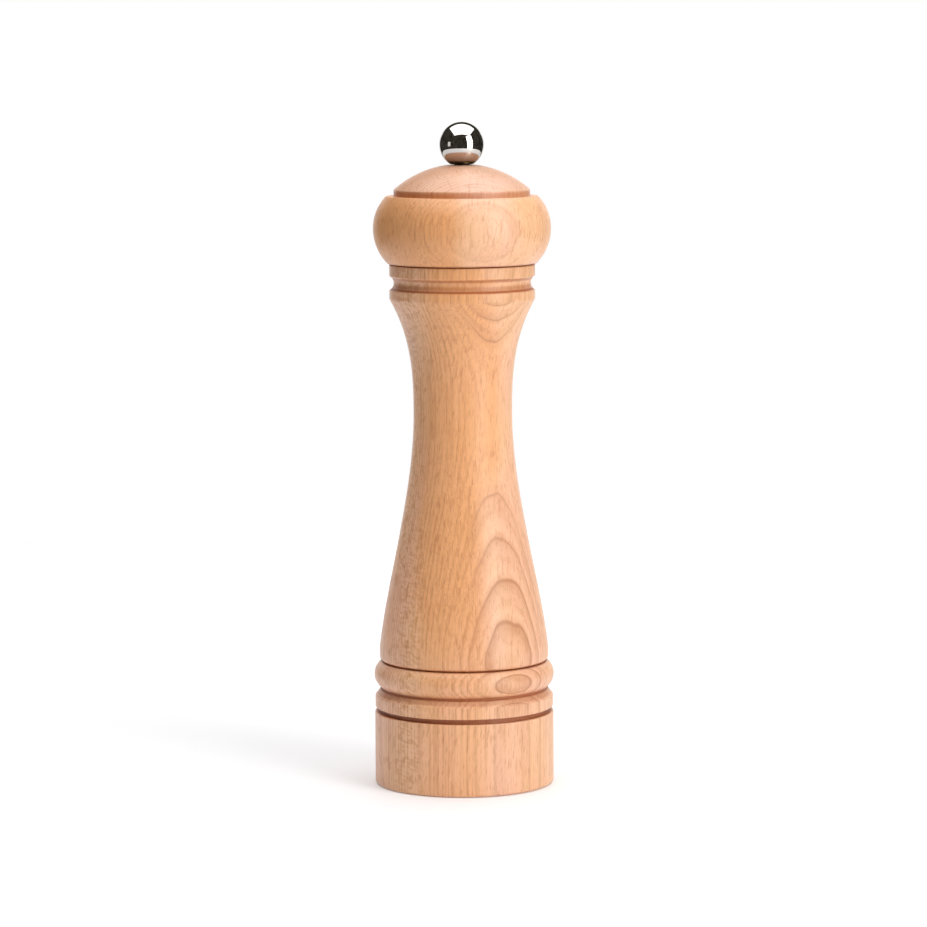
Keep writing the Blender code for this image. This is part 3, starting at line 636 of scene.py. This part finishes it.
def bodyOutline(size):
    (grooveTop, ringTop, slopeTop, beadTop, footLow, footTop,
     waistZ, sweepTop, edgeTop, coveLow, coveTop, top) = bodyLevels(size)
    base, ring, collar = size["baseRadius"], size["ringRadius"], size["collarRadius"]
    foot, waist = size["footRadius"], size["waistRadius"]
    neck = collar - size["collarUndercut"]
    ringInner = ring - size["ringSlope"]
    lower = sweep(
        (foot, footTop), (foot - 0.19 * (foot - waist), footTop + 0.28 * size["lowerSweep"]),
        (waist, waistZ - 0.34 * size["lowerSweep"]), (waist, waistZ), 60)
    upper = sweep(
        (waist, waistZ), (waist, waistZ + 0.3 * size["upperSweep"]),
        (waist + 0.03 * (neck - waist), waistZ + 0.65 * size["upperSweep"]), (neck, sweepTop), 44)
    socketFloor = top - size["socketDepth"]
    return [
        (base - 0.5, 0.0, 0.3),
        (base, size["footEdge"], 0.3),
        (base, size["baseHeight"], 0.35),
        (base - size["grooveDepth"], size["baseHeight"], 0.2),
        (base - size["grooveDepth"], grooveTop, 0.2),
        (ring, grooveTop, 0.35),
        (ring, ringTop, 0.45),
        *sweep((ring - 0.3, ringTop + 0.25), (ring - 1.2, ringTop + 1.1),
               (ringInner + 0.7, slopeTop - 0.35), (ringInner, slopeTop - 0.3), 8),
        (ringInner, slopeTop + 0.1, 0.1),
        *swell(size["beadRadius"] - size["beadBulge"], size["beadBulge"], slopeTop + 0.2, beadTop, 28),
        (foot - size["footRound"] - 0.35, beadTop + 0.05, 0.1),
        *arc((foot - size["footRound"], footLow + size["footRound"]), size["footRound"], -90, 0, 8),
        *lower,
        *upper[1:],
        *sweep((neck + 0.05, sweepTop + 0.1), (neck + 0.25, sweepTop + 0.5),
               (collar, sweepTop + 0.7), (collar, sweepTop + 1.2), 6),
        (collar, coveLow, 0.3),
        *swell(collar, -size["coveDepth"], coveLow, coveTop, 16)[1:-1],
        (collar, coveTop, 0.25),
        (collar, top, 0.3),
        (size["socketRadius"], top, 0.4),
        (size["socketRadius"], socketFloor, 0.3),
        (size["chamberRadius"], socketFloor, 0.3),
        (size["chamberRadius"], size["shoulder"], 0.3),
        (size["mechanismRadius"], size["shoulder"], 0.2),
        (size["mechanismRadius"], size["recessDepth"], 0.3),
        (size["recessRadius"], size["recessDepth"], 0.3),
        (size["recessRadius"], 0.0, 0.4),
    ]


def bodyShadedCreases(size):
    # painted shade: the wood darkened in each groove and cove and at the joint under the head, where shade
    # falls
    grooveTop, ringTop, slopeTop, beadTop, *others, coveLow, coveTop, top = bodyLevels(size)
    return [
        (grooveTop - size["grooveWidth"] / 2, 1.5, size["ringRadius"] - 0.2, 0.80),
        (slopeTop, 1.4, size["beadRadius"] - 1.6, 0.55),
        (slopeTop - 1.0, 2.6, size["ringRadius"] - 0.3, 0.34),
        (beadTop + 0.15, 1.7, size["footRadius"] - 0.1, 0.75),
        (coveTop - 0.4, 1.0, size["collarRadius"] - 0.1, 0.60),
        (coveLow + 1.0, 1.7, size["collarRadius"] - 0.1, 0.45),
        (coveLow + 0.3, 0.7, size["collarRadius"] - 0.05, 0.50),
        (top, 0.5, size["collarRadius"] + 0.4, 0.40),
    ]


bodyBeech = makeBeech(
    "beechBody", facing=31, spacing=2.25, firstRing=24.7, lean=0.004, seed=3.1, contrast=1.0, grain=1.0,
    stripe=(0.80, -11.0, 1.0), silver=1.0, crown=400.0,
    shadedCreases=bodyShadedCreases(bodyShape))
turnedBody = lathe("turnedBody", bodyOutline(bodyShape), bodyBeech, bodyShape["facets"])
place(turnedBody, "mill_body", "beech_body", "body")
print("body turned")

# head

headShape = {
    "jointGap": 0.3, "tenonRadius": 13.7, "tenonEdge": 0.6,
    "radius": 27.5, "lowerHeight": 10.8, "lowerCurve": 15.4, "upperHeight": 9.95, "upperCurve": 14.2,
    "domeRadius": 21.05, "domeStep": 1.95, "domeCurve": 31.9, "domeFlat": 5.0,
    "flangeRadius": 4.7, "flangeDepth": 1.6, "bushRadius": 3.8, "bushDepth": 14.1, "passageRadius": 4.95,
    "facets": 256,
}


def headOutline(size):
    tenonLow, domeTop = heights("head")
    rim = heights("body")[1] + size["jointGap"]
    widest = rim + size["lowerHeight"]
    ledge = widest + size["upperHeight"]
    lowerCurve, upperCurve, domeCurve = size["lowerCurve"], size["upperCurve"], size["domeCurve"]
    low = math.degrees(math.asin(size["lowerHeight"] / lowerCurve))
    high = math.degrees(math.asin(size["upperHeight"] / upperCurve))
    domeLow = math.degrees(math.acos(size["domeRadius"] / domeCurve))
    domeHigh = math.degrees(math.acos(size["domeFlat"] / domeCurve))
    domeCentre = ledge + size["domeStep"] - math.sin(math.radians(domeLow)) * domeCurve
    lowerArc = arc((size["radius"] - lowerCurve, widest), lowerCurve, -low, 0, 30)
    upperArc = arc((size["radius"] - upperCurve, widest), upperCurve, 0, high, 30)
    domeArc = arc((0.0, domeCentre), domeCurve, domeLow, domeHigh, 30)
    return [
        (size["tenonRadius"] - size["tenonEdge"], tenonLow, 0.2),
        (size["tenonRadius"], tenonLow + size["tenonEdge"], 0.2),
        (size["tenonRadius"], rim, 0.2),
        (*lowerArc[0], 0.3),
        *lowerArc[1:],
        *upperArc[1:-1],
        (*upperArc[-1], 0.45),
        (size["domeRadius"], ledge, 0.2),
        (*domeArc[0], 0.3),
        *domeArc[1:],
        (size["flangeRadius"], domeTop, 0.1),
        (size["flangeRadius"], domeTop - size["flangeDepth"]),
        (size["bushRadius"], domeTop - size["flangeDepth"]),
        (size["bushRadius"], domeTop - size["bushDepth"]),
        (size["passageRadius"], domeTop - size["bushDepth"]),
        (size["passageRadius"], tenonLow, 0.3),
    ]


headRim = heights("body")[1] + headShape["jointGap"]
headLedge = headRim + headShape["lowerHeight"] + headShape["upperHeight"]
headBeech = makeBeech(
    "beechHead", facing=14, spacing=3.4, firstRing=26.6, lean=0.01, seed=11.7, contrast=0.6, grain=0.72,
    stripe=(0.9, -30.0, -9.0), silver=0.0, crown=headLedge,
    # painted shade: the wood darkened under the dome's ledge and at the joint, where shade falls
    shadedCreases=[
        (headLedge + 0.6, 1.5, headShape["domeRadius"] + 0.45, 0.45),
        (headRim, 0.5, headShape["radius"] - 3.0, 0.45)])
turnedHead = lathe("turnedHead", headOutline(headShape), headBeech, headShape["facets"])
place(turnedHead, "grip", "beech_head", "head")
print("head turned")

# knob, washer and bush

knobShape = {"radius": 7.0, "neck": 3.5, "bore": 2.8, "boreSpare": 2.4, "edge": 0.2, "facets": 128}


def knobOutline(size):
    low, high = heights("adjusting_knob")
    centre = low + math.sqrt(size["radius"]**2 - size["neck"]**2)
    neck = math.degrees(math.acos(size["neck"] / size["radius"]))
    ball = arc((0.0, centre), size["radius"], -neck, 89.7, 90)
    boreTop = heights("shaft")[1] + size["boreSpare"]
    return [
        (0.02, boreTop),
        (size["bore"], boreTop),
        (size["bore"], low + 0.4),
        (size["bore"] + 0.35, low, 0.05),
        (*ball[0], size["edge"]),
        *ball[1:],
        (0.02, centre + size["radius"]),
    ]


mirrorSteel = makeMirrorSteel()
zinc = makeMetal(
    "zincPlate", pale=(0.70, 0.71, 0.72), deep=(0.50, 0.51, 0.53),
    roughness=0.30, grain=(1.2, 1.2, 1.2), marks=0.15)
brass = makeMetal(
    "turnedBrass", pale=(0.86, 0.66, 0.30), deep=(0.70, 0.50, 0.20),
    roughness=0.28, grain=(0.6, 0.6, 9.0), marks=0.2)
toolSteel = makeMetal(
    "hardenedSteel", pale=(0.34, 0.34, 0.35), deep=(0.20, 0.20, 0.21),
    roughness=0.38, grain=(4.0, 4.0, 1.0), marks=0.35)
aluminium = makeMetal(
    "drawnAluminium", pale=(0.82, 0.83, 0.84), deep=(0.68, 0.69, 0.70),
    roughness=0.30, grain=(7.0, 7.0, 0.05), marks=0.25)
springWire = makeMetal(
    "springWire", pale=(0.52, 0.52, 0.53), deep=(0.34, 0.34, 0.35),
    roughness=0.26, grain=(6.0, 6.0, 6.0), marks=0.1)

ballKnob = lathe("ballKnob", knobOutline(knobShape), mirrorSteel, knobShape["facets"])
place(ballKnob, "knob", "polished_steel", "adjusting_knob")


washerShape = {"bore": 2.8, "knobEdge": 0.1, "coneEdge": 0.2}


def plainWasher(name, node, inner, edge, material):
    low, high = heights(node)
    outer = halfWidth(node)
    outline = [(outer, low, edge), (outer, high, edge), (inner, high, edge), (inner, low, edge)]
    return lathe(name, outline, material)


knobWasher = plainWasher("knobWasher", "knob_washer", washerShape["bore"], washerShape["knobEdge"], zinc)
place(knobWasher, "knob_seat", zincSlot, "knob_washer")
coneWasher = plainWasher("coneWasher", "rotor_washer", washerShape["bore"], washerShape["coneEdge"], zinc)
place(coneWasher, "spindle", zincSlot, "rotor_washer")

bushShape = {"tube": 3.5, "bore": 2.8, "flangeThickness": 1.3, "washerGap": 0.3, "underWasher": 0.25}


def bushOutline(size):
    # a flanged tube whose counterbore holds the knob's washer
    low, high = heights("head_bush")
    flange = halfWidth("head_bush")
    under = high - size["flangeThickness"]
    seat = halfWidth("knob_washer") + size["washerGap"]
    floor = heights("knob_washer")[0] - size["underWasher"]
    return [
        (size["tube"], low, 0.2), (size["tube"], under, 0.1), (flange, under, 0.1),
        (flange, high, 0.1), (seat, high, 0.1), (seat, floor, 0.05),
        (size["bore"], floor, 0.1), (size["bore"], low, 0.2)]


headBush = lathe("headBush", bushOutline(bushShape), brass)
place(headBush, "grip", "brass", "head_bush")
print("knob, washers and bush made")

# shaft

shaftShape = {
    "side": 6.0, "corner": 0.35, "thread": 2.5, "threadDepth": 0.45, "pitch": 0.8, "stepsPerPitch": 10,
    "chamfer": 0.5, "chamferSlope": 0.8, "edge": 0.3, "underBush": 2.2, "facets": 64,
}


def threadRadius(size, z, start, end):
    # a rounded V thread that fades out at both ends
    def radiusAt(angle):
        turn = (z / size["pitch"] - angle / (2 * math.pi)) % 1.0
        depth = size["threadDepth"] * (1 - abs(2 * turn - 1))
        chamfer = max(0.0, size["chamfer"] - (end - z)) + max(0.0, size["chamfer"] - (z - start))
        return min(size["thread"] - depth, size["thread"] - size["chamferSlope"] * chamfer)

    return radiusAt


def threadRings(size, start, end):
    count = int((end - start) / size["pitch"] * size["stepsPerPitch"])
    steps = [start + (end - start) * step / count for step in range(count + 1)]
    return [ringOf(size["facets"], z, threadRadius(size, z, start, end)) for z in steps]


def makeShaft(size):
    bottom, top = heights("shaft")
    squareLow = heights("rotor")[0]
    squareTop = heights("head_bush")[0] - size["underBush"]
    edge = size["edge"]
    square = roundedSquare(size["side"], size["corner"])
    smaller = roundedSquare(size["side"] - 2 * edge, size["corner"])
    neck = size["thread"] - size["threadDepth"]
    rings = threadRings(size, bottom, squareLow - edge)
    rings += stack(
        size, (squareLow, neck), (squareLow, smaller), (squareLow + edge, square),
        (squareTop - edge, square), (squareTop, smaller), (squareTop, neck))
    rings += threadRings(size, squareTop + edge, top)
    return skinOver("squareShaft", rings, aluminium)


place(makeShaft(shaftShape), "spindle", "aluminium", "shaft")

# spring

springLow, springHigh = heights("spring")
seed = newObject("springSeed", bpy.data.meshes.new("springSeed"))
coilSpring = settle(seed, "coilSpring", *coilGroup, {
    "Turns": springShape["turns"], "Radius": springShape["radius"] * mm, "Wire": springShape["wire"] * mm,
    "Low": (springLow + springShape["wire"]) * mm,
    "Height": (springHigh - springLow - 2 * springShape["wire"]) * mm,
    "Material": springWire})
place(coilSpring, "spring_set", "spring_steel", "spring")
adjustJoint = [joint for joint in frame["joints"] if joint["name"] == "grind_adjust"][0]
adjustTravel = adjustJoint["range_m"][1] / mm
springKeep = 1 - adjustTravel / (springHigh - springLow)
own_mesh(coilSpring)
print("shaft and spring made")

# grinding cone and ring

millTeeth = {
    "cutTeeth": 36, "cutDepth": 0.32, "feedTeeth": 12, "feedDepth": 0.75, "lean": 75.0,
    "throat": 6.0, "fadeBelow": 1.5, "fade": 3.0, "sections": 64, "facets": 288,
    "ringBottom": 11.2, "ringThroat": 9.6, "ringMouth": 10.8, "gap": 0.75, "coneTop": 5.79, "coneLand": 5.0,
    "squareHole": 6.6, "holeCorner": 0.2, "ringEdge": 0.3,
}


def envelope(size, bottom, throat, top, height, total):
    if height <= size["throat"]:
        return bottom + (throat - bottom) * height / size["throat"]
    return throat + (top - throat) * (height - size["throat"]) / (total - size["throat"])


def toothRadius(size, reach, height, total, inwards):
    # fine cutting teeth below the throat, deep feeding teeth above it
    feed = min(1.0, max(0.0, (height - size["throat"] + size["fadeBelow"]) / size["fade"]))
    twist = math.radians(size["lean"]) * height / total * inwards

    def radiusAt(angle):
        turned = (angle + twist) / (2 * math.pi)
        cut = size["cutDepth"] * ((turned * size["cutTeeth"]) % 1.0)
        deep = size["feedDepth"] * ((turned * size["feedTeeth"]) % 1.0)
        return reach - inwards * ((1 - feed) * cut + feed * deep)

    return radiusAt


def toothRings(size, low, total, bottom, throat, top, inwards):
    rings = []
    for section in range(size["sections"] + 1):
        height = total * section / size["sections"]
        reach = envelope(size, bottom, throat, top, height, total)
        radiusAt = toothRadius(size, reach, height, total, inwards)
        rings.append(ringOf(size["facets"], low + height, radiusAt))
    return rings


def makeCone(size):
    low, high = heights("rotor")
    total = high - low
    bottom, throat = size["ringBottom"] - size["gap"], size["ringThroat"] - size["gap"]
    rings = toothRings(size, low, total, bottom, throat, size["coneTop"], 1)
    hole = roundedSquare(size["squareHole"], size["holeCorner"])
    rings += stack(size, (high, size["coneLand"]), (high, hole), (low, hole))
    return skinOver("grindingCone", rings, toolSteel, closed=True)


def makeRing(size):
    low, high = heights("stator")
    outer = halfWidth("stator")
    total = high - low
    edge = size["ringEdge"]
    rings = toothRings(size, low, total, size["ringBottom"], size["ringThroat"], size["ringMouth"], -1)
    rings += stack(size, (high, outer - edge), (high - edge, outer), (low + edge, outer), (low, outer - edge))
    return skinOver("grindingRing", rings, toolSteel, closed=True)


place(makeCone(millTeeth), "spindle", "hardened_steel", "rotor")
place(makeRing(millTeeth), "mill_body", "hardened_steel", "stator")
print("grinding pieces made")

# flat pieces with holes

plateShape = {
    "facets": 96, "edge": 0.15, "squareHole": 6.6, "holeCorner": 0.2, "screwHole": 1.5,
    "outlet": 12.0, "outletEdge": 0.2,
}
cutterSpare = 1.0  # how far a drill reaches past both faces
drillFacets = 32
drilledSharpAngle = 30


def squareHolePlate(name, node, material, size):
    low, high = heights(node)
    outer = halfWidth(node)
    edge = size["edge"]
    hole = roundedSquare(size["squareHole"], size["holeCorner"])
    rings = stack(
        size, (low, outer - edge), (low + edge, outer), (high - edge, outer), (high, outer - edge),
        (high, hole), (low, hole))
    return skinOver(name, rings, material, closed=True)


def cutAway(piece, tool):
    # takes the tool's shape out of the piece
    modifier = piece.modifiers.new("cut", "BOOLEAN")
    modifier.operation = "DIFFERENCE"
    modifier.object = tool
    piece.data = plainMesh(piece)
    bpy.data.objects.remove(tool)


def drill(piece, spots, radius, low, high):
    depth = high - low + 2 * cutterSpare
    for x, y in spots:
        middle = (x * mm, y * mm, (low + high) / 2 * mm)
        bpy.ops.mesh.primitive_cylinder_add(
            vertices=drillFacets, radius=radius * mm, depth=depth * mm, location=middle)
        cutAway(piece, bpy.context.object)
    piece.data.shade_smooth()
    piece.data.set_sharp_from_angle(angle=math.radians(drilledSharpAngle))
    return piece


def spotsOf(*nodes):
    spots = []
    for node in nodes:
        low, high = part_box(node)
        middle = (low + high) / 2
        spots.append((middle.x / mm, middle.y / mm))
    return spots


driveNodes = ["drive_plate_screw_1", "drive_plate_screw_2"]
holdNodes = ["retaining_screw_1", "retaining_screw_2", "retaining_screw_3"]
plateLow, plateHigh = heights("drive_plate")
drivePlate = squareHolePlate("drivePlate", "drive_plate", zinc, plateShape)
drill(drivePlate, spotsOf(*driveNodes), plateShape["screwHole"], plateLow, plateHigh)
place(drivePlate, "grip", zincSlot, "drive_plate")
thrustWasher = squareHolePlate("thrustWasher", "spring_washer", zinc, plateShape)
place(thrustWasher, "spring_set", zincSlot, "spring_washer")
holdLow, holdHigh = heights("retaining_plate")
holdPlate = plainWasher(
    "retainingPlate", "retaining_plate", plateShape["outlet"], plateShape["outletEdge"], zinc)
drill(holdPlate, spotsOf(*holdNodes), plateShape["screwHole"], holdLow, holdHigh)
place(holdPlate, "mill_body", zincSlot, "retaining_plate")

# nut

nutShape = {
    "acrossFlats": 8.0, "corner": 0.12, "reach": 4.62, "chamfer": 0.45, "chamferHeight": 0.35,
    "bore": 2.8, "mouth": 3.1, "mouthDepth": 0.3, "facets": 96,
}


def makeNut(size):
    low, high = heights("rotor_nut")
    hexagon = roundedSquare(size["acrossFlats"], size["corner"], sides=6)
    cut, rise, deep = size["chamfer"], size["chamferHeight"], size["mouthDepth"]
    bore, mouth = size["bore"], size["mouth"]

    def flank(limit):
        return lambda angle: min(hexagon(angle), limit)

    whole, ground = flank(size["reach"]), flank(size["reach"] - cut)
    rings = stack(
        size, (low, ground), (low + rise, whole), (high - rise, whole), (high, ground),
        (high, mouth), (high - deep, bore), (low + deep, bore), (low, mouth))
    return skinOver("coneNut", rings, zinc, closed=True)


place(makeNut(nutShape), "spindle", zincSlot, "rotor_nut")

# bridge

bridgeShape = {"thickness": 1.2, "bend": 1.6, "innerBend": 0.3, "hole": 4.55, "edge": 0.15, "steps": 8}


def makeBridge(size):
    low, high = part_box("bridge")
    outer, half = high.x / mm, high.y / mm
    top, foot = high.z / mm, low.z / mm
    bend, thick = size["bend"], size["thickness"]
    inner = max(size["innerBend"], bend - thick)
    right = [(outer, foot), *arc((outer - bend, top - bend), bend, 0, 90, size["steps"])]
    under = arc((outer - bend, top - bend), inner, 90, 0, size["steps"]) + [(outer - thick, foot)]
    left = [(-x, z) for x, z in reversed(right)]
    underLeft = [(-x, z) for x, z in reversed(under)]
    outline = right + left + underLeft + under
    edge = size["edge"]
    rings = []
    for y, shrink in ((-half, edge), (-half + edge, 0.0), (half - edge, 0.0), (half, edge)):
        middle = Vector((0.0, (top + foot) / 2))
        ring = []
        for x, z in outline:
            away = Vector((x, z)) - middle
            away = away * (1 - shrink / max(away.length, 1.0) * 0.5)
            ring.append((away.x + middle.x, y, away.y + middle.y))
        rings.append(ring)
    bridge = skinOver("shaftBridge", rings, zinc)
    return drill(bridge, [(0.0, 0.0)], size["hole"], top - thick, top)


place(makeBridge(bridgeShape), "mill_body", zincSlot, "bridge")

# screws

screwShape = {
    "headRadius": 2.3, "headHeight": 1.4, "headSteps": 6, "headStart": 12.0, "rimHeight": 0.35,
    "slotLength": 2.7, "slotWidth": 0.55, "slotDepth": 0.7, "slotRaise": 0.14,
    "pitch": 0.9, "threadDepth": 0.35, "ridgeSlope": 2.2, "stepsPerPitch": 8,
    "tipLength": 2.2, "tipShare": 0.25, "facets": 48,
}


def crossSlot(piece, size, low):
    for turn in (0.0, math.pi / 2):
        bpy.ops.mesh.primitive_cube_add(size=1.0, location=(0, 0, low * mm), rotation=(0, 0, turn))
        tool = bpy.context.object
        tool.scale = (size["slotLength"] * mm, size["slotWidth"] * mm, 2 * size["slotDepth"] * mm)
        cutAway(piece, tool)
    return piece


def makeScrew(name, node, shank, size):
    low, high = heights(node)
    headTop = low + size["headHeight"]
    radius = size["headRadius"]
    # the head's crown is an oval arc, drawn as a round one and flattened
    crown = arc((0.0, 0.0), 1.0, size["headStart"], 90, size["headSteps"])
    rimLow = headTop - size["rimHeight"]
    crownHeight = size["headHeight"] - size["rimHeight"]
    rings = stack(size, *[(rimLow - crownHeight * along, radius * out) for along, out in crown])
    rings += stack(size, (headTop, radius), (headTop, shank))
    length = high - headTop
    count = int(length / size["pitch"] * size["stepsPerPitch"])
    for step in range(1, count + 1):
        z = headTop + length * step / count
        taper = min(1.0, (high - z) / size["tipLength"] + size["tipShare"])
        fadeIn = min(1.0, z - headTop)

        def radiusAt(angle, z=z, taper=taper, fadeIn=fadeIn):
            turn = (z / size["pitch"] + angle / (2 * math.pi)) % 1.0
            ridge = max(0.0, 1 - abs(2 * turn - 1) * size["ridgeSlope"])
            return taper * (shank - size["threadDepth"] * fadeIn * (1 - ridge))

        rings.append(ringOf(size["facets"], z, radiusAt))
    return crossSlot(skinOver(name + "Pattern", rings, zinc), size, low + size["slotRaise"])


def setRound(name, nodes, shank, seedValue):
    spots = spotsOf(*nodes)
    x, y = spots[0]
    pattern = makeScrew(name, nodes[0], shank, screwShape)
    return settle(pattern, name, *roundGroup, {
        "Count": len(nodes), "Circle": math.hypot(x, y) * mm, "First": math.atan2(y, x),
        "Seed": seedValue, "Material": zinc})


retainingScrews = setRound("retainingScrews", holdNodes, shank=1.2, seedValue=4)
place(retainingScrews, "mill_body", zincSlot, *holdNodes)
driveScrews = setRound("driveScrews", driveNodes, shank=1.1, seedValue=9)
place(driveScrews, "grip", zincSlot, *driveNodes)
print("plates, bridge and screws made")

# studio

studio = {
    "tableRadius": 0.6, "tableDrop": 0.0002, "tableGlow": 0.14, "edgeGlow": 2.2,
    "worldWhite": 1.0, "roomRadius": 3.0,
    "wallDark": (0.016, 0.014, 0.011), "wallLight": (0.062, 0.056, 0.046),
    "cameraPlace": (0.0, -1.199, 0.2353), "aim": (0.00012, 0.0, 0.09996), "lens": 150.76, "roll": 0.28,
}
# name, place, aim, width, height, radiance and colour of each softbox
softboxes = [
    ("overhead", (0.05, 0.02, 1.22), (0.05, 0.02, 0.0), 1.65, 1.55, 2.45, (1.0, 1.0, 1.0)),
    ("key", (0.70, -0.72, 0.36), (0.0, 0.0, 0.12), 0.52, 1.25, 4.85, (1.0, 0.985, 0.96)),
    ("fill", (-0.95, -0.42, 0.24), (0.0, 0.0, 0.08), 0.26, 0.34, 0.95, (1.0, 0.97, 0.93)),
    ("backdrop", (0.0, 0.95, 0.22), (0.0, 0.0, 0.22), 1.3, 0.6, 1.1, (1.0, 1.0, 1.0)),
]


def makeTable():
    shape = bmesh.new()
    bmesh.ops.create_circle(shape, cap_ends=True, segments=128, radius=studio["tableRadius"])
    bmesh.ops.translate(shape, verts=shape.verts, vec=(0.0, 0.0, -studio["tableDrop"]))
    table = newObject("table", meshOf("table", shape))
    material, board = newMaterial(
        "whiteTable", Base_Color=(0.85, 0.855, 0.875), Roughness=0.6, Emission_Strength=studio["tableGlow"])
    # the far floor glows more, so that no edge shows
    x, y, z = placeInMm(board)
    far = board.fade(board.maths("SQRT", x * x + y * y), 200.0, 480.0)
    near, edge = (0.96, 0.97, 1.0), (studio["edgeGlow"],) * 3
    board.paint("Emission Color", board.blend(far, near, edge))
    table.data.materials.append(material)


def makeRoom():
    # a dark room round the set, which only light and reflections see
    shape = bmesh.new()
    bmesh.ops.create_icosphere(shape, subdivisions=4, radius=studio["roomRadius"])
    room = newObject("room", meshOf("room", shape))
    # dim walls with uneven patches, as a furnished room has
    material, board = newMaterial(
        "darkRoom", Base_Color=(0.03, 0.03, 0.028), Roughness=0.9, Emission_Strength=1.0)
    spot = board.node("ShaderNodeTexCoord", out=3)
    patches = board.noise(spot, 3.0, 0.6, scale=1.6)
    shade = board.tint(patches, [(0.35, studio["wallDark"]), (0.65, studio["wallLight"])])
    board.paint("Emission Color", shade)
    room.data.materials.append(material)
    room.visible_camera = False


def softbox(name, spot, aim, width, height, radiance, colour):
    light = bpy.data.lights.new(name, "AREA")
    light.shape = "RECTANGLE"
    light.size = width
    light.size_y = height
    light.energy = radiance * math.pi * width * height
    light.color = colour
    lamp = newObject(name, light)
    lamp.location = spot
    lamp.rotation_euler = (Vector(aim) - Vector(spot)).to_track_quat("-Z", "Y").to_euler()
    lamp.visible_camera = False


def makeWorld():
    world = bpy.data.worlds.new("white")
    world.use_nodes = True
    background = world.node_tree.nodes["Background"]
    background.inputs["Color"].default_value = (1.0, 1.0, 1.0, 1.0)
    background.inputs["Strength"].default_value = studio["worldWhite"]
    bpy.context.scene.world = world


def makeCamera():
    data = bpy.data.cameras.new("camera")
    data.lens = studio["lens"]
    data.sensor_width = 36.0
    camera = newObject("camera", data)
    spot = Vector(studio["cameraPlace"])
    turn = (Vector(studio["aim"]) - spot).to_track_quat("-Z", "Y").to_matrix().to_4x4()
    roll = Matrix.Rotation(math.radians(-studio["roll"]), 4, "Z")
    camera.matrix_world = Matrix.Translation(spot) @ turn @ roll
    bpy.context.scene.camera = camera


makeTable()
makeRoom()
makeWorld()
for box in softboxes:
    softbox(*box)
makeCamera()
bpy.context.scene.view_settings.view_transform = "Standard"
print("studio ready")
